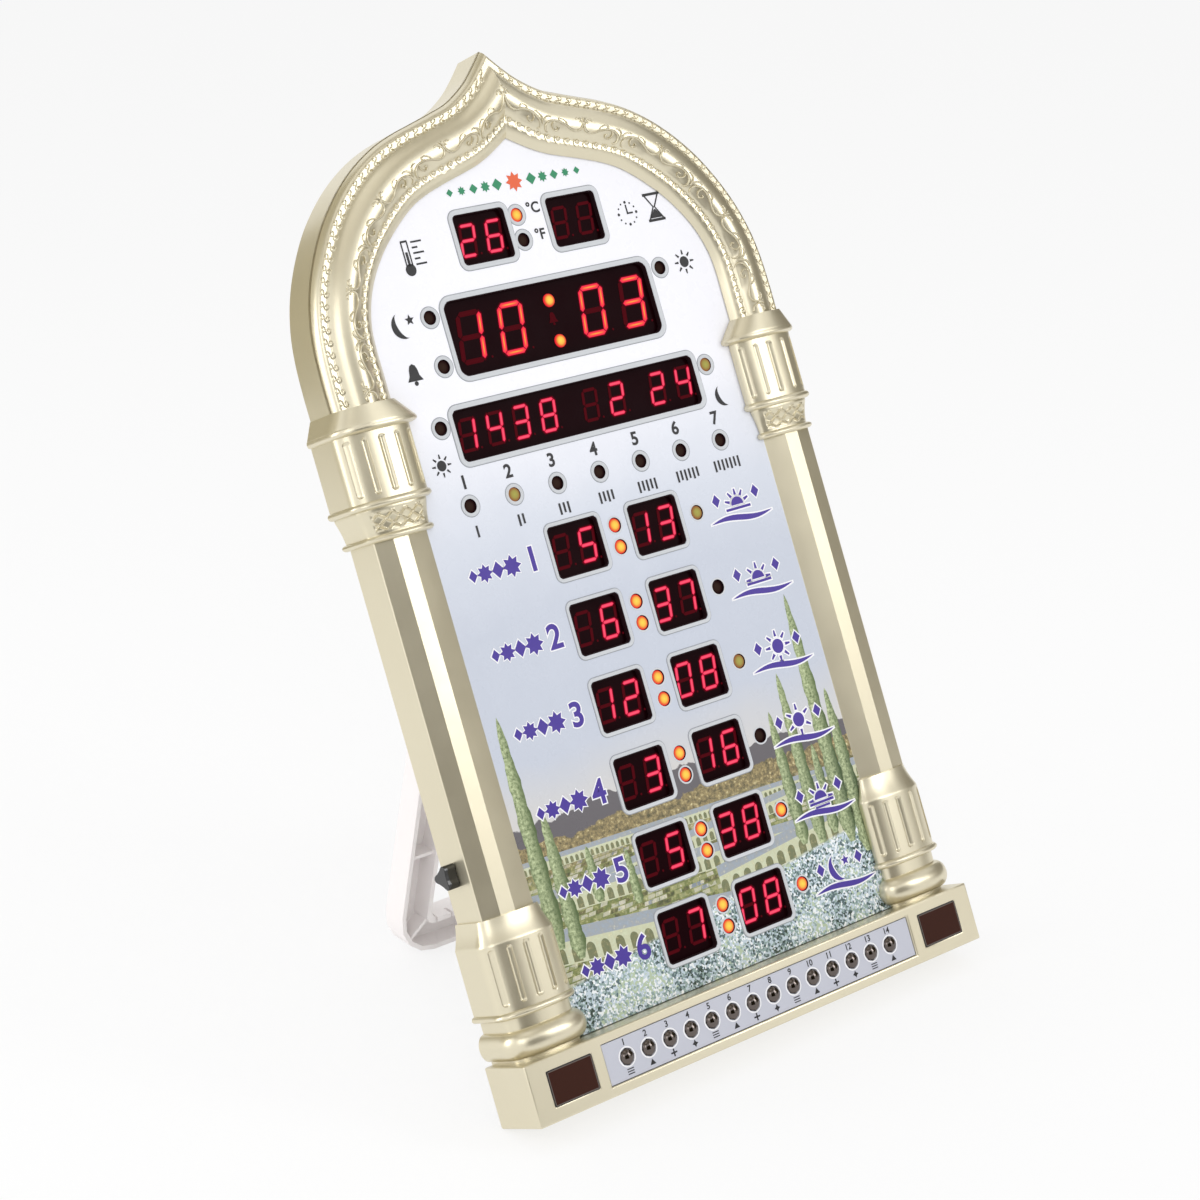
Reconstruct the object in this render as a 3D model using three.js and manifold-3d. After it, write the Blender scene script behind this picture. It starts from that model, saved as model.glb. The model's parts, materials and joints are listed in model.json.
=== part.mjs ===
// An azan clock: a gold arched housing with columns, a printed front panel with red number displays,
// a row of sprung keys, a speaker behind and a folding easel stand.
// Millimetres. The clock is built in its own upright frame: x to the right, y to the rear from the
// front panel's face, z up the face from the foot. At the end it leans back onto its open stand.
import * as THREE from 'three';
import { mergeVertices } from 'three/addons/utils/BufferGeometryUtils.js';
import Module from 'manifold-3d';

const wasm = await Module();
wasm.setup();

// Fits shared by all pieces
const seat = 0.3; // gap left between two pieces that touch
const overrun = 1; // how far a cutter runs past the face it cuts
const wall = 2.2; // moulded wall

// How the clock stands
const lean = THREE.MathUtils.degToRad(25.5); // face leans back from upright
const standAngle = THREE.MathUtils.degToRad(27); // open stand, measured from the housing's back
const standReach = 131; // ground between the base's rear edge and the stand's front face

// The housing: a base block, two columns and an ogee arch
const base = { halfWidth: 117.5, height: 24.2, front: 10.6, rear: 16.4 };
const shaft = { setIn: 6.2, side: 8, face: 7, slope: 10, corner: 1.2, rise: 2.4 };
shaft.outer = base.halfWidth - shaft.setIn;
shaft.front = shaft.outer - shaft.side;
shaft.bevel = shaft.front - shaft.face;
shaft.inner = shaft.bevel - shaft.slope;
const arch = { springZ: 276.5, proud: 1.2, rise: 126.5, lap: 0.2, openingRise: 90.5 };
arch.halfWidth = shaft.outer + arch.proud;
arch.opening = shaft.inner - arch.lap;
const band = { lip: 3.2, tube: 7.8, pearl: 4, edge: 0.7, stations: 24 };
const cover = { thickness: wall };
cover.inner = base.rear - cover.thickness;
const baseInner = { x: base.halfWidth - wall, bottom: wall, top: base.height - wall };
const caseInner = shaft.outer - wall; // inner face of both side walls

// A column's mouldings: heights of its parts, and how far each stands out from the shaft, laps over
// its inner edge and rises in front of the panel
const level = {
  foot: 23, torus: [25.4, 36.2], ring: [40.7, 43.6], drum: [44.6, 69.2], bell: 78.8,
  astragal: [225.6, 228.2], leaf: 237.3, upperRing: [238, 241], upperDrum: [241.6, 266], lip: [266.6, 269.4],
};
const torus = { proud: 6, over: 6.7, rise: 9.4 };
const neck = { proud: 2.3, over: 2.7, rise: 5.2 };
const ring = { proud: 5.7, over: 5.7, rise: 7.4 };
const drum = { proud: 4.3, over: 4.5, rise: 6.2 };
const bell = { proud: 1.1, over: 1.3, rise: 3.6 };
const leaf = { proud: 3.3, over: 2.9, rise: 5.4 };
const lip = { proud: 5.7, over: 8.1, rise: 9.6 };
for (const size of [torus, neck, ring, drum, bell, leaf, lip]) {
  size.out = shaft.outer + size.proud;
  size.inn = shaft.inner - size.over;
}
const columnTurn = 3; // depth at which a column's front starts to round
const flute = { radius: 1.3, margin: 3.2, depthShare: 0.55, acrossShares: [-0.83, -0.43, 0, 0.43, 0.83] };

// The printed front panel
const panel = { thickness: 2, margin: 2.8 };

// Openings in the panel, each with a display behind it
const timeWindow = { setIn: 34.6, bottom: 278.1, top: 309.1, corner: 3.5 };
const dateWindow = { setIn: 24.8, bottom: 246, top: 267.5, corner: 2.5 };
for (const window of [timeWindow, dateWindow]) window.halfWidth = arch.opening - window.setIn;
const smallWindow = { inner: 10, outer: 35.9, bottom: 320, top: 341.2, corner: 2 };
const rowWindow = { inner: 7.4, outer: 33.2, height: 21.6, corner: 1.9 };
const rows = { count: 6, topZ: 203.7, pitch: 31.35 };
const rowZ = (i) => rows.topZ - i * rows.pitch;

// The dark sheet behind the openings, a margin larger than they are
const filter = { thickness: 1.2, setIn: 12.1, topMargin: 6.1, margin: 3.5 };
filter.front = panel.thickness + seat;
filter.rear = filter.front + filter.thickness;
filter.halfWidth = arch.opening - filter.setIn;
filter.topHalfWidth = smallWindow.outer + filter.topMargin;
filter.bottom = rowZ(rows.count - 1) - rowWindow.height / 2 - filter.margin;
filter.shoulder = timeWindow.top + filter.margin;
filter.top = smallWindow.top + filter.margin;

// Round indicator lamps, each behind a hole in the panel
const lamp = { hole: 3.2, radius: 2.5, sides: 6, holeSides: 8, domeShares: [[0.72, 0.1], [1, 0.42]] };
const weekdays = { count: 7, setIn: 22.05, z: 230.1 };
weekdays.pitch = (2 * (arch.opening - weekdays.setIn)) / (weekdays.count - 1);
const colon = { spread: 4.45 };
const rowLamp = { x: 41.9, lift: 0.4 };
const lampSpace = { inner: 5.3, time: 6.7, date: 6.1, top: 4.8, bottom: 6.2, timeTop: 5.3, dateTop: 6 };
const beside = ({ halfWidth }, space) => halfWidth + space;
const modeLamps = [
  { x: -smallWindow.inner + lampSpace.inner, z: smallWindow.top - lampSpace.top },
  { x: -smallWindow.inner + lampSpace.inner, z: smallWindow.bottom + lampSpace.bottom },
  { x: -beside(timeWindow, lampSpace.time), z: timeWindow.top - lampSpace.timeTop },
  { x: -beside(timeWindow, lampSpace.time), z: timeWindow.bottom + lampSpace.bottom },
  { x: beside(timeWindow, lampSpace.time), z: timeWindow.top - lampSpace.top },
  { x: -beside(dateWindow, lampSpace.date), z: dateWindow.top - lampSpace.dateTop },
  { x: beside(dateWindow, lampSpace.date), z: dateWindow.top - lampSpace.dateTop },
];

// Displays and the board that carries them
const module7 = { depth: 6, margin: 0.7 };
module7.front = filter.rear + seat;
module7.rear = module7.front + module7.depth;
const board = { thickness: 1.4, setIn: 2.1, margin: 1.5 };
board.halfWidth = arch.opening - board.setIn;
board.topHalfWidth = filter.topHalfWidth + board.margin;
board.bottom = filter.bottom - board.margin;
board.shoulder = filter.shoulder + board.margin;
board.top = filter.top + board.margin;
board.front = module7.rear + seat;
board.rear = board.front + board.thickness;
const post = { radius: 3.4, bore: 1.5, setIn: 4.5, lowZ: 70, highZ: 240, sides: 8 };
post.x = board.halfWidth - post.setIn;
const screw = { shank: 1.2, sides: 6, head: 2.9, headHeight: 0.9, length: 9.5 };
const boardScrew = { head: 2.6, headHeight: 1.4, length: 7 };
const processor = { width: 14, height: 10, thickness: 1.6, x: 0, z: 175 };
const drivers = { width: 18, height: 6, x: 52, z: [175, 292] };
const cell = { radius: 10, thickness: 3.2, x: -58, z: 94.3, sides: 16 };
const cellHolder = { floor: 0.9, rim: 1.2, height: 2.6, notch: 7 };

// Keys, their strip and their board, in the base
const irWindow = { setIn: 19.6, halfWidth: 10.2, bottom: 6, top: 18.6, proud: 0.3, flange: 1.3, skin: 1.6 };
irWindow.x = base.halfWidth - irWindow.setIn;
const strip = { space: 6.4, bottom: 4.3, top: 20.2, recess: 0.8, thickness: 1.5, flange: 1.5 };
strip.halfWidth = irWindow.x - irWindow.halfWidth - strip.space;
strip.flangeDepth = 1;
strip.front = -base.front + strip.recess;
strip.rear = strip.front + strip.thickness;
const flangeFront = -base.front + wall + seat; // flanges seat behind the base's front wall
const flangeRear = flangeFront + strip.flangeDepth;
const keys = { count: 14, endSpace: 11.1, z: 12.4, centreX: -0.8, hole: 3.5, radius: 3.2, proud: 1.7, sides: 8 };
keys.pitch = (2 * (strip.halfWidth - keys.endSpace)) / (keys.count - 1);
Object.assign(keys, { collar: 4.3, collarDepth: 1, stem: 1.5, travel: 1 });
keys.topShares = [[0.55, 0.12], [0.88, 0.5]];
const keyX = (i) => keys.centreX + (i - (keys.count - 1) / 2) * keys.pitch;
const keyBoard = { front: -0.6, setIn: 6.3, bottom: 4, top: 20.6, thickness: 1.4 };
keyBoard.halfWidth = baseInner.x - keyBoard.setIn;
keyBoard.rear = keyBoard.front + keyBoard.thickness;
const keySwitch = { width: 6, body: 3, plunger: 1.7, plungerHeight: 0.5 };
keySwitch.tip = keyBoard.front - keySwitch.body - keySwitch.plungerHeight;
keys.stemEnd = keySwitch.tip - seat - keys.travel;
const stripPost = { setIn: 3.7, radius: 1.7, sides: 8 };
stripPost.x = strip.halfWidth - stripPost.setIn;
const irReceiver = { halfWidth: 3.2, height: 7, depth: 3.4, dome: 2.6 };
const cable = { x: 53, width: 16, thickness: 0.9, lowZ: 8, lap: 5, slotMargin: 2, slotFront: 3 };

// Speaker in the rear cover's raised box
const soundBox = { bottomZ: 62, topZ: 150, bottomHalf: 45, topHalf: 33.5, rear: 32, draft: 2.5, corner: 6 };
const speaker = { z: 103, radius: 28, rim: 0.8, collar: 1.6, collarDepth: 2.3, sides: 20, skin: 1.2 };
Object.assign(speaker, { basket: 24.5, throat: 14, bore: 4, basketDepth: 8.5, magnet: 15.5, magnetDepth: 4.8 });
const cone = { surround: 1.4, bowl: 12.2, cap: 6.5, lift: 0.8, capHeight: 2.9, capShares: [[0.7, 0.75], [0, 1]] };
const grille = { radius: 22, slots: 9, pitch: 4.6, slot: 2, rib: 2 };

// Volume control on the left wall, and the power inlet in the rear cover
const volume = { y: 9.3, z: 97.8, shaft: 1.6, body: 4.4, bodyDepth: 6.5, sides: 8, shaftReach: 4 };
const knob = { hub: 3.1, wing: 5.4, length: 5.2, wings: 3, steps: 30, end: 1 };
const jack = { setIn: 21.5, z: 42, halfWidth: 5.6, depth: 8.6, barrel: 4.6, bore: 2.9, pin: 1, boreDepth: 9 };
Object.assign(jack, { x: base.halfWidth - jack.setIn, sides: 12 });

// Easel stand and its hinge
const stand = { depth: 12, limb: 15.5, bar: 14.5, topBar: 16, rim: 2.1, web: 2.2, rib: 1.6, footHalf: 72.2 };
Object.assign(stand, { taper: 0.166, footCorner: 17, loopCorner: 4, topCorner: 4, hingeY: 27 });
Object.assign(stand, { ribHeights: [45, 115, 185], notch: 1.2, notchDepth: 5, notchX: [43, 51] });
const hinge = { pin: 2, barrelHalf: 32.5, ear: 4, earRadius: 6.4, head: 3.1, headLength: 1.2, sides: 12 };
hinge.bore = hinge.pin + seat;
hinge.earInner = hinge.barrelHalf + seat;
hinge.earOuter = hinge.earInner + hinge.ear;
const halfDepth = stand.depth / 2;
// The stand's length and hinge height follow from where its foot meets the ground
stand.length =
  (base.rear + standReach * Math.cos(lean) + halfDepth * Math.cos(standAngle) - stand.hingeY) /
  Math.sin(standAngle);
stand.hingeZ =
  standReach * Math.sin(lean) + halfDepth * Math.sin(standAngle) + stand.length * Math.cos(standAngle);
// The heel above the hinge stops against the cover when the stand is open
stand.heel = (stand.hingeY - base.rear - seat - halfDepth * Math.cos(standAngle)) / Math.sin(standAngle);

// Screw bosses inside the housing
const boss = { radius: 3.6, bore: 1.5, sides: 8, well: 3.3, wellDepth: 1.2, front: 2.6, inset: 4.7, web: 2, z: 12 };
Object.assign(boss, { columnZ: 150, archShare: 0.55 });

// A closed three.js geometry as a solid that can be joined and cut
function solid(geometry) {
  const bare = new THREE.BufferGeometry();
  const loose = geometry.index ? geometry.toNonIndexed() : geometry;
  bare.setAttribute('position', loose.getAttribute('position'));
  const merged = mergeVertices(bare, 1e-4);
  const corners = merged.index.array;
  const faces = [];
  for (let i = 0; i < corners.length; i += 3) {
    const [a, b, c] = corners.slice(i, i + 3);
    if (a !== b && b !== c && c !== a) faces.push(a, b, c);
  }
  const make = (triangles) =>
    new wasm.Manifold(
      new wasm.Mesh({
        numProp: 3,
        vertProperties: merged.attributes.position.array,
        triVerts: new Uint32Array(triangles),
      }),
    );
  const made = make(faces);
  return made.volume() < 0 ? make(faces.reverse()) : made;
}

// The solid back as a three.js geometry
function geometryOf(body) {
  const mesh = body.getMesh();
  const geometry = new THREE.BufferGeometry();
  geometry.setAttribute('position', new THREE.BufferAttribute(mesh.vertProperties, 3));
  geometry.setIndex(new THREE.BufferAttribute(mesh.triVerts, 1));
  geometry.computeVertexNormals();
  return geometry;
}

const join = (bodies) => bodies.reduce((sum, body) => sum.add(body));
const cut = (body, cutters) => cutters.reduce((rest, cutter) => rest.subtract(cutter), body);
const both = [-1, 1];

// A box between two corners
function block([x0, y0, z0], [x1, y1, z1]) {
  const box = new THREE.BoxGeometry(x1 - x0, y1 - y0, z1 - z0);
  return solid(box.translate((x0 + x1) / 2, (y0 + y1) / 2, (z0 + z1) / 2));
}

// Corners [across, up, radius] as an outline, each corner rounded by its own arc
function rounded(corners, steps = 2) {
  const at = (i) => new THREE.Vector2(...corners[(i + corners.length) % corners.length].slice(0, 2));
  return corners.flatMap(([, , radius], i) => {
    const corner = at(i);
    if (!radius) return [corner];
    const before = at(i - 1).sub(corner).normalize();
    const after = at(i + 1).sub(corner).normalize();
    const half = Math.acos(before.dot(after)) / 2;
    const centre = before.clone().add(after).setLength(radius / Math.sin(half)).add(corner);
    const start = before.clone().multiplyScalar(radius / Math.tan(half)).add(corner).sub(centre);
    const turn = (Math.PI - 2 * half) * -Math.sign(before.cross(after));
    return Array.from({ length: steps + 1 }, (_, k) =>
      start.clone().rotateAround(new THREE.Vector2(), (turn * k) / steps).add(centre),
    );
  });
}

const rectangle = (x0, x1, z0, z1, radius, steps) =>
  rounded([[x0, z0, radius], [x1, z0, radius], [x1, z1, radius], [x0, z1, radius]], steps);

// A straight strip between two points, as an outline
function stripBetween(from, to, width) {
  const side = to.clone().sub(from).rotateAround(new THREE.Vector2(), Math.PI / 2).setLength(width / 2);
  return [from.clone().sub(side), to.clone().sub(side), to.clone().add(side), from.clone().add(side)];
}

// An outline in x and z, run from depth y0 to y1
function plate(outline, y0, y1) {
  const run = new THREE.ExtrudeGeometry(new THREE.Shape(outline), { depth: y1 - y0, bevelEnabled: false });
  return solid(run.rotateX(Math.PI / 2).translate(0, y1, 0));
}

// A turned solid about an axis along y through (x, z); the profile is [radius, y] from front to rear
function turnedY(profile, x, z, sides) {
  const points = profile.map(([radius, y]) => new THREE.Vector2(radius, y));
  return solid(new THREE.LatheGeometry(points, sides).translate(x, 0, z));
}

// A turned solid about an axis along x through (y, z); the profile is [radius, x]
function turnedX(profile, y, z, sides) {
  const points = profile.map(([radius, x]) => new THREE.Vector2(radius, x));
  return solid(new THREE.LatheGeometry(points, sides).rotateZ(-Math.PI / 2).translate(0, y, z));
}

const pegY = (radius, y0, y1, x, z, sides) =>
  turnedY([[0, y0], [radius, y0], [radius, y1], [0, y1]], x, z, sides);
const pegX = (radius, x0, x1, y, z, sides) =>
  turnedX([[0, x0], [radius, x0], [radius, x1], [0, x1]], y, z, sides);

// Rings of points joined into a closed skin; flat gives a point's place on its ring's end face
function loft(rings, flat) {
  const count = rings[0].length;
  const faces = [];
  for (let r = 0; r + 1 < rings.length; r++) {
    for (let i = 0; i < count; i++) {
      const a = r * count + i;
      const b = r * count + ((i + 1) % count);
      faces.push(a, b, b + count, a, b + count, a + count);
    }
  }
  const closeEnd = (index, way) => {
    const outline = rings[index].map(flat);
    const turn = Math.sign(THREE.ShapeUtils.area(outline)) * way;
    for (const [a, b, c] of THREE.ShapeUtils.triangulateShape(outline, [])) {
      const triangle = turn > 0 ? [a, b, c] : [c, b, a];
      faces.push(...triangle.map((corner) => index * count + corner));
    }
  };
  closeEnd(0, -1);
  closeEnd(rings.length - 1, 1);
  const positions = rings.flat().flatMap((p) => [p.x, p.y, p.z]);
  const geometry = new THREE.BufferGeometry();
  geometry.setAttribute('position', new THREE.Float32BufferAttribute(positions, 3));
  geometry.setIndex(faces);
  return solid(geometry);
}
const inPlan = (p) => new THREE.Vector2(p.x, p.y);
const inFace = (p) => new THREE.Vector2(p.x, p.z);

// Right-hand edges of the arch from the springing to the tip, as shares of its half-width and rise
const archOuterShares = [
  [1, 0], [1, 0.09], [0.995, 0.185], [0.98, 0.273], [0.948, 0.366], [0.9, 0.456], [0.834, 0.548],
  [0.764, 0.62], [0.692, 0.678], [0.62, 0.723], [0.538, 0.762], [0.453, 0.79], [0.373, 0.81],
  [0.289, 0.831], [0.2, 0.857], [0.114, 0.903], [0.055, 0.949], [0, 1],
];
const archInnerShares = [
  [1, 0], [1, 0.116], [1, 0.227], [0.99, 0.32], [0.957, 0.42], [0.904, 0.513], [0.832, 0.601],
  [0.76, 0.668], [0.681, 0.73], [0.599, 0.782], [0.517, 0.817], [0.436, 0.842], [0.358, 0.863],
  [0.282, 0.882], [0.2, 0.905], [0.123, 0.936], [0.058, 0.969], [0, 1],
];
// The band's section from its side wall over the moulded front to the opening's edge: shares of the
// band's width, and heights in front of the panel as shares of the lip, the tube and the pearl bed
const bandShares = [
  [0, 0.35, 'lip'], [0.03, 0.85, 'lip'], [0.08, 1, 'lip'], [0.13, 0.92, 'lip'], [0.2, 1.08, 'lip'],
  [0.26, 0.6, 'tube'], [0.31, 0.82, 'tube'], [0.39, 0.97, 'tube'], [0.48, 1, 'tube'], [0.57, 0.95, 'tube'],
  [0.66, 0.8, 'tube'], [0.76, 1.08, 'pearl'], [0.8, 1, 'pearl'], [0.91, 0.8, 'pearl'], [1, 1, 'edge'],
];
const archCurve = (shares, halfWidth, rise) =>
  new THREE.CatmullRomCurve3(
    shares.map(([across, up]) => new THREE.Vector3(across * halfWidth, 0, arch.springZ + up * rise)),
    false,
    'catmullrom',
  );
const archOuter = archCurve(archOuterShares, arch.halfWidth, arch.rise);
const archInner = archCurve(archInnerShares, arch.opening, arch.openingRise);
const archWall = arch.halfWidth - caseInner;

// The band's edges, width and direction at a share of the way up the right side
function bandAt(share) {
  const outer = archOuter.getPoint(share);
  const inner = archInner.getPoint(share);
  const across = inner.clone().sub(outer);
  return { outer, inner, width: across.length(), across: across.normalize() };
}

// A closed outline that runs up from the given right-hand corners, over the arch and down the left
function archedOutline(lowerCorners, edgeAt) {
  const right = lowerCorners.map(([x, z]) => new THREE.Vector2(x, z));
  for (let i = 0; i <= band.stations; i++) right.push(inFace(edgeAt(bandAt(i / band.stations))));
  const left = right.slice(0, -1).reverse();
  return [...right, ...left.map((p) => new THREE.Vector2(-p.x, p.y))];
}

function archBody() {
  const ringAt = (share, side, drop = 0) => {
    const { outer, width, across } = bandAt(share);
    const front = bandShares.map(([along, height, part]) => [along * width, -height * band[part]]);
    const section = [[0, base.rear], ...front, [width, -seat], [archWall, -seat], [archWall, base.rear]];
    return section.map(([along, y]) => {
      const p = outer.clone().addScaledVector(across, along);
      return new THREE.Vector3(p.x * side, y, p.z - drop);
    });
  };
  const rings = [ringAt(0, -1, overrun)];
  for (let i = 0; i < band.stations; i++) rings.push(ringAt(i / band.stations, -1));
  for (let i = band.stations; i >= 0; i--) rings.push(ringAt(i / band.stations, 1));
  rings.push(ringAt(0, 1, overrun));
  return loft(rings, inPlan);
}

// Depth of a column's rounded front at a share of its half-width, out positive
const roundPower = 2.5;
const roundRise = (share) => (1 - Math.abs(share) ** roundPower) ** (1 / roundPower);
function columnFront(share, rise) {
  return share > 0
    ? columnTurn - (rise + columnTurn) * roundRise(share)
    : -seat - (rise - seat) * roundRise(share);
}

// One level of a column, from the rear along the outside, over the front and back along the inside
const roundShares = [1, 0.97, 0.8, 0.45, 0, -0.45, -0.8, -0.97, -1];
function columnRing(z, { out, inn, rise }, side) {
  const front = roundShares.map((share) => [
    (out + inn) / 2 + (share * (out - inn)) / 2,
    columnFront(share, rise),
  ]);
  const points = [[out, base.rear], ...front, [caseInner, -seat], [caseInner, base.rear]];
  return points.map(([x, y]) => new THREE.Vector3(x * side, y, z));
}

// Levels of a round moulding between two heights, swelling from one size to another and back
function swelling([z0, z1], from, to, steps) {
  return Array.from({ length: steps + 1 }, (_, i) => {
    const share = i / steps;
    const swell = Math.sqrt(1 - (2 * share - 1) ** 2);
    const size = {};
    for (const key of Object.keys(from)) size[key] = from[key] + swell * (to[key] - from[key]);
    return [z0 + share * (z1 - z0), size];
  });
}

function column(side) {
  const pedestal = [
    [level.foot, neck],
    ...swelling(level.torus, neck, torus, 6),
    ...swelling(level.ring, neck, ring, 3),
    [level.drum[0], drum],
    [level.drum[1], drum],
    [level.bell, bell],
  ];
  const capital = [
    ...swelling(level.astragal, bell, leaf, 3),
    [level.leaf, leaf],
    ...swelling(level.upperRing, leaf, ring, 3),
    [level.upperDrum[0], drum],
    [level.upperDrum[1], drum],
    [level.lip[0], lip],
    [level.lip[1], lip],
    [arch.springZ, { out: arch.halfWidth + seat, inn: arch.opening - seat, rise: band.tube + seat }],
  ];
  const turned = [pedestal, capital].map((levels) =>
    loft(levels.map(([z, size]) => columnRing(z, size, side)), inPlan),
  );
  const shaftSection = [
    [shaft.outer, base.rear],
    [shaft.outer, -shaft.corner],
    [shaft.front, -shaft.rise],
    [shaft.bevel, -shaft.rise],
    [shaft.inner, -seat],
    [caseInner, -seat],
    [caseInner, base.rear],
  ];
  const shaftEnds = [level.bell - overrun, level.astragal[0] + overrun];
  const shaftBody = loft(
    shaftEnds.map((z) => shaftSection.map(([x, y]) => new THREE.Vector3(x * side, y, z))),
    inPlan,
  );
  return join([...turned, shaftBody]);
}

// Round-ended flutes cut into a column's drum
function flutes([z0, z1], side) {
  const length = z1 - z0 - 2 * flute.margin;
  return flute.acrossShares.map((share) => {
    const rod = new THREE.CapsuleGeometry(flute.radius, length, 2, 6).rotateX(Math.PI / 2);
    const x = (drum.out + drum.inn) / 2 + (share * (drum.out - drum.inn)) / 2;
    const y = columnFront(share, drum.rise) - flute.radius * (1 - flute.depthShare);
    return solid(rod.translate(x * side, y, (z0 + z1) / 2));
  });
}

// Places of the six cover screws, each with the point of the wall that carries its boss
const archBoss = bandAt(boss.archShare);
const archScrew = archBoss.outer.clone().addScaledVector(archBoss.across, archWall + boss.inset);
const archScrewWall = archBoss.outer.clone().addScaledVector(archBoss.across, archWall / 2);
const screwPlaces = both.flatMap((side) => [
  { x: side * (baseInner.x - boss.inset), z: boss.z, wallX: side * (baseInner.x + wall / 2), wallZ: boss.z },
  { x: side * (caseInner - boss.inset), z: boss.columnZ, wallX: side * (caseInner + wall / 2), wallZ: boss.columnZ },
  { x: side * archScrew.x, z: archScrew.z, wallX: side * archScrewWall.x, wallZ: archScrewWall.z },
]);

// Rods and bores on the volume control's axis and on the stand's hinge
const volumePeg = (radius, x0, x1) => pegX(radius, x0, x1, volume.y, volume.z, volume.sides);
const hingePeg = (radius, x0, x1) => pegX(radius, x0, x1, stand.hingeY, stand.hingeZ, hinge.sides);

function frontBezel() {
  const plinth = block([-base.halfWidth, -base.front, 0], [base.halfWidth, base.rear, base.height]);
  const cavity = block(
    [-baseInner.x, -base.front + wall, baseInner.bottom],
    [baseInner.x, base.rear + overrun, baseInner.top],
  );
  const bosses = screwPlaces.flatMap(({ x, z, wallX, wallZ }) => {
    const web = stripBetween(new THREE.Vector2(x, z), new THREE.Vector2(wallX, wallZ), boss.web);
    return [
      pegY(boss.radius, boss.front, cover.inner - seat, x, z, boss.sides),
      plate(web, boss.front, cover.inner - seat),
    ];
  });
  const body = join([cut(plinth, [cavity]), archBody(), ...both.map(column), ...bosses]);
  const frontCut = (x, halfWidth, z0, z1) =>
    block(
      [x - halfWidth - seat, -base.front - overrun, z0 - seat],
      [x + halfWidth + seat, -base.front + wall + overrun, z1 + seat],
    );
  return cut(body, [
    ...screwPlaces.map(({ x, z }) =>
      pegY(boss.bore, boss.front + wall, cover.inner + overrun, x, z, boss.sides),
    ),
    block(
      [-caseInner, cover.inner - seat, baseInner.top - overrun],
      [caseInner, base.rear + overrun, base.height + overrun],
    ),
    block(
      [cable.x - cable.width / 2 - cable.slotMargin, cable.slotFront, baseInner.top - overrun],
      [cable.x + cable.width / 2 + cable.slotMargin, cover.inner, base.height + overrun],
    ),
    frontCut(0, strip.halfWidth, strip.bottom, strip.top),
    ...both.map((side) => frontCut(side * irWindow.x, irWindow.halfWidth, irWindow.bottom, irWindow.top)),
    volumePeg(volume.shaft + seat, -shaft.outer - overrun, -caseInner + overrun),
    ...both.flatMap((side) => [...flutes(level.drum, side), ...flutes(level.upperDrum, side)]),
  ]);
}

// The raised speaker box of the rear cover at one depth, drawn in by an inset
function boxRing(y, inset) {
  const bottom = soundBox.bottomHalf - inset;
  const top = soundBox.topHalf - inset;
  const radius = soundBox.corner - inset;
  return rounded([
    [-bottom, soundBox.bottomZ + inset, radius],
    [bottom, soundBox.bottomZ + inset, radius],
    [top, soundBox.topZ - inset, radius],
    [-top, soundBox.topZ - inset, radius],
  ]).map((p) => new THREE.Vector3(p.x, y, p.y));
}

function rearCover() {
  const outline = archedOutline(
    [
      [baseInner.x - seat, baseInner.bottom + seat],
      [baseInner.x - seat, baseInner.top - seat],
      [caseInner - seat, baseInner.top - seat],
    ],
    ({ outer, across }) => outer.clone().addScaledVector(across, archWall + seat),
  );
  const middle = base.rear - cover.thickness / 2;
  const box = loft([boxRing(middle, 0), boxRing(base.rear, 0), boxRing(soundBox.rear, soundBox.draft)], inFace);
  const hollow = loft(
    [
      boxRing(cover.inner - overrun, wall),
      boxRing(base.rear, wall),
      boxRing(soundBox.rear - wall, wall + soundBox.draft),
    ],
    inFace,
  );
  const collarFront = soundBox.rear - wall - speaker.collarDepth;
  const collarInner = speaker.radius + seat;
  const collar = turnedY(
    [
      [collarInner, collarFront],
      [collarInner + speaker.collar, collarFront],
      [collarInner + speaker.collar, soundBox.rear - wall / 2],
      [collarInner, soundBox.rear - wall / 2],
      [collarInner, collarFront],
    ],
    0,
    speaker.z,
    speaker.sides,
  );
  const ears = both.flatMap((side) => [
    hingePeg(hinge.earRadius, side * hinge.earInner, side * hinge.earOuter),
    block(
      [side > 0 ? hinge.earInner : -hinge.earOuter, middle, stand.hingeZ - hinge.earRadius],
      [side > 0 ? hinge.earOuter : -hinge.earInner, stand.hingeY, stand.hingeZ + hinge.earRadius],
    ),
  ]);
  const slots = Array.from({ length: grille.slots }, (_, i) => {
    const up = (i - (grille.slots - 1) / 2) * grille.pitch;
    const end = Math.sqrt(grille.radius ** 2 - up ** 2);
    const z = speaker.z + up;
    return [[-end, -grille.rib / 2], [grille.rib / 2, end]].map(([x0, x1]) =>
      block(
        [x0, soundBox.rear - wall - overrun, z - grille.slot / 2],
        [x1, soundBox.rear + overrun, z + grille.slot / 2],
      ),
    );
  });
  const shell = cut(join([plate(outline, cover.inner, base.rear), box]), [hollow]);
  return cut(join([shell, collar, ...ears]), [
    ...slots.flat(),
    hingePeg(hinge.bore, -hinge.earOuter - overrun, hinge.earOuter + overrun),
    pegY(jack.barrel + seat, cover.inner - overrun, base.rear + overrun, jack.x, jack.z, jack.sides),
    ...screwPlaces.flatMap(({ x, z }) => [
      pegY(boss.well, base.rear - boss.wellDepth, base.rear + overrun, x, z, boss.sides),
      pegY(boss.bore, cover.inner - overrun, base.rear + overrun, x, z, boss.sides),
    ]),
  ]);
}

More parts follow.
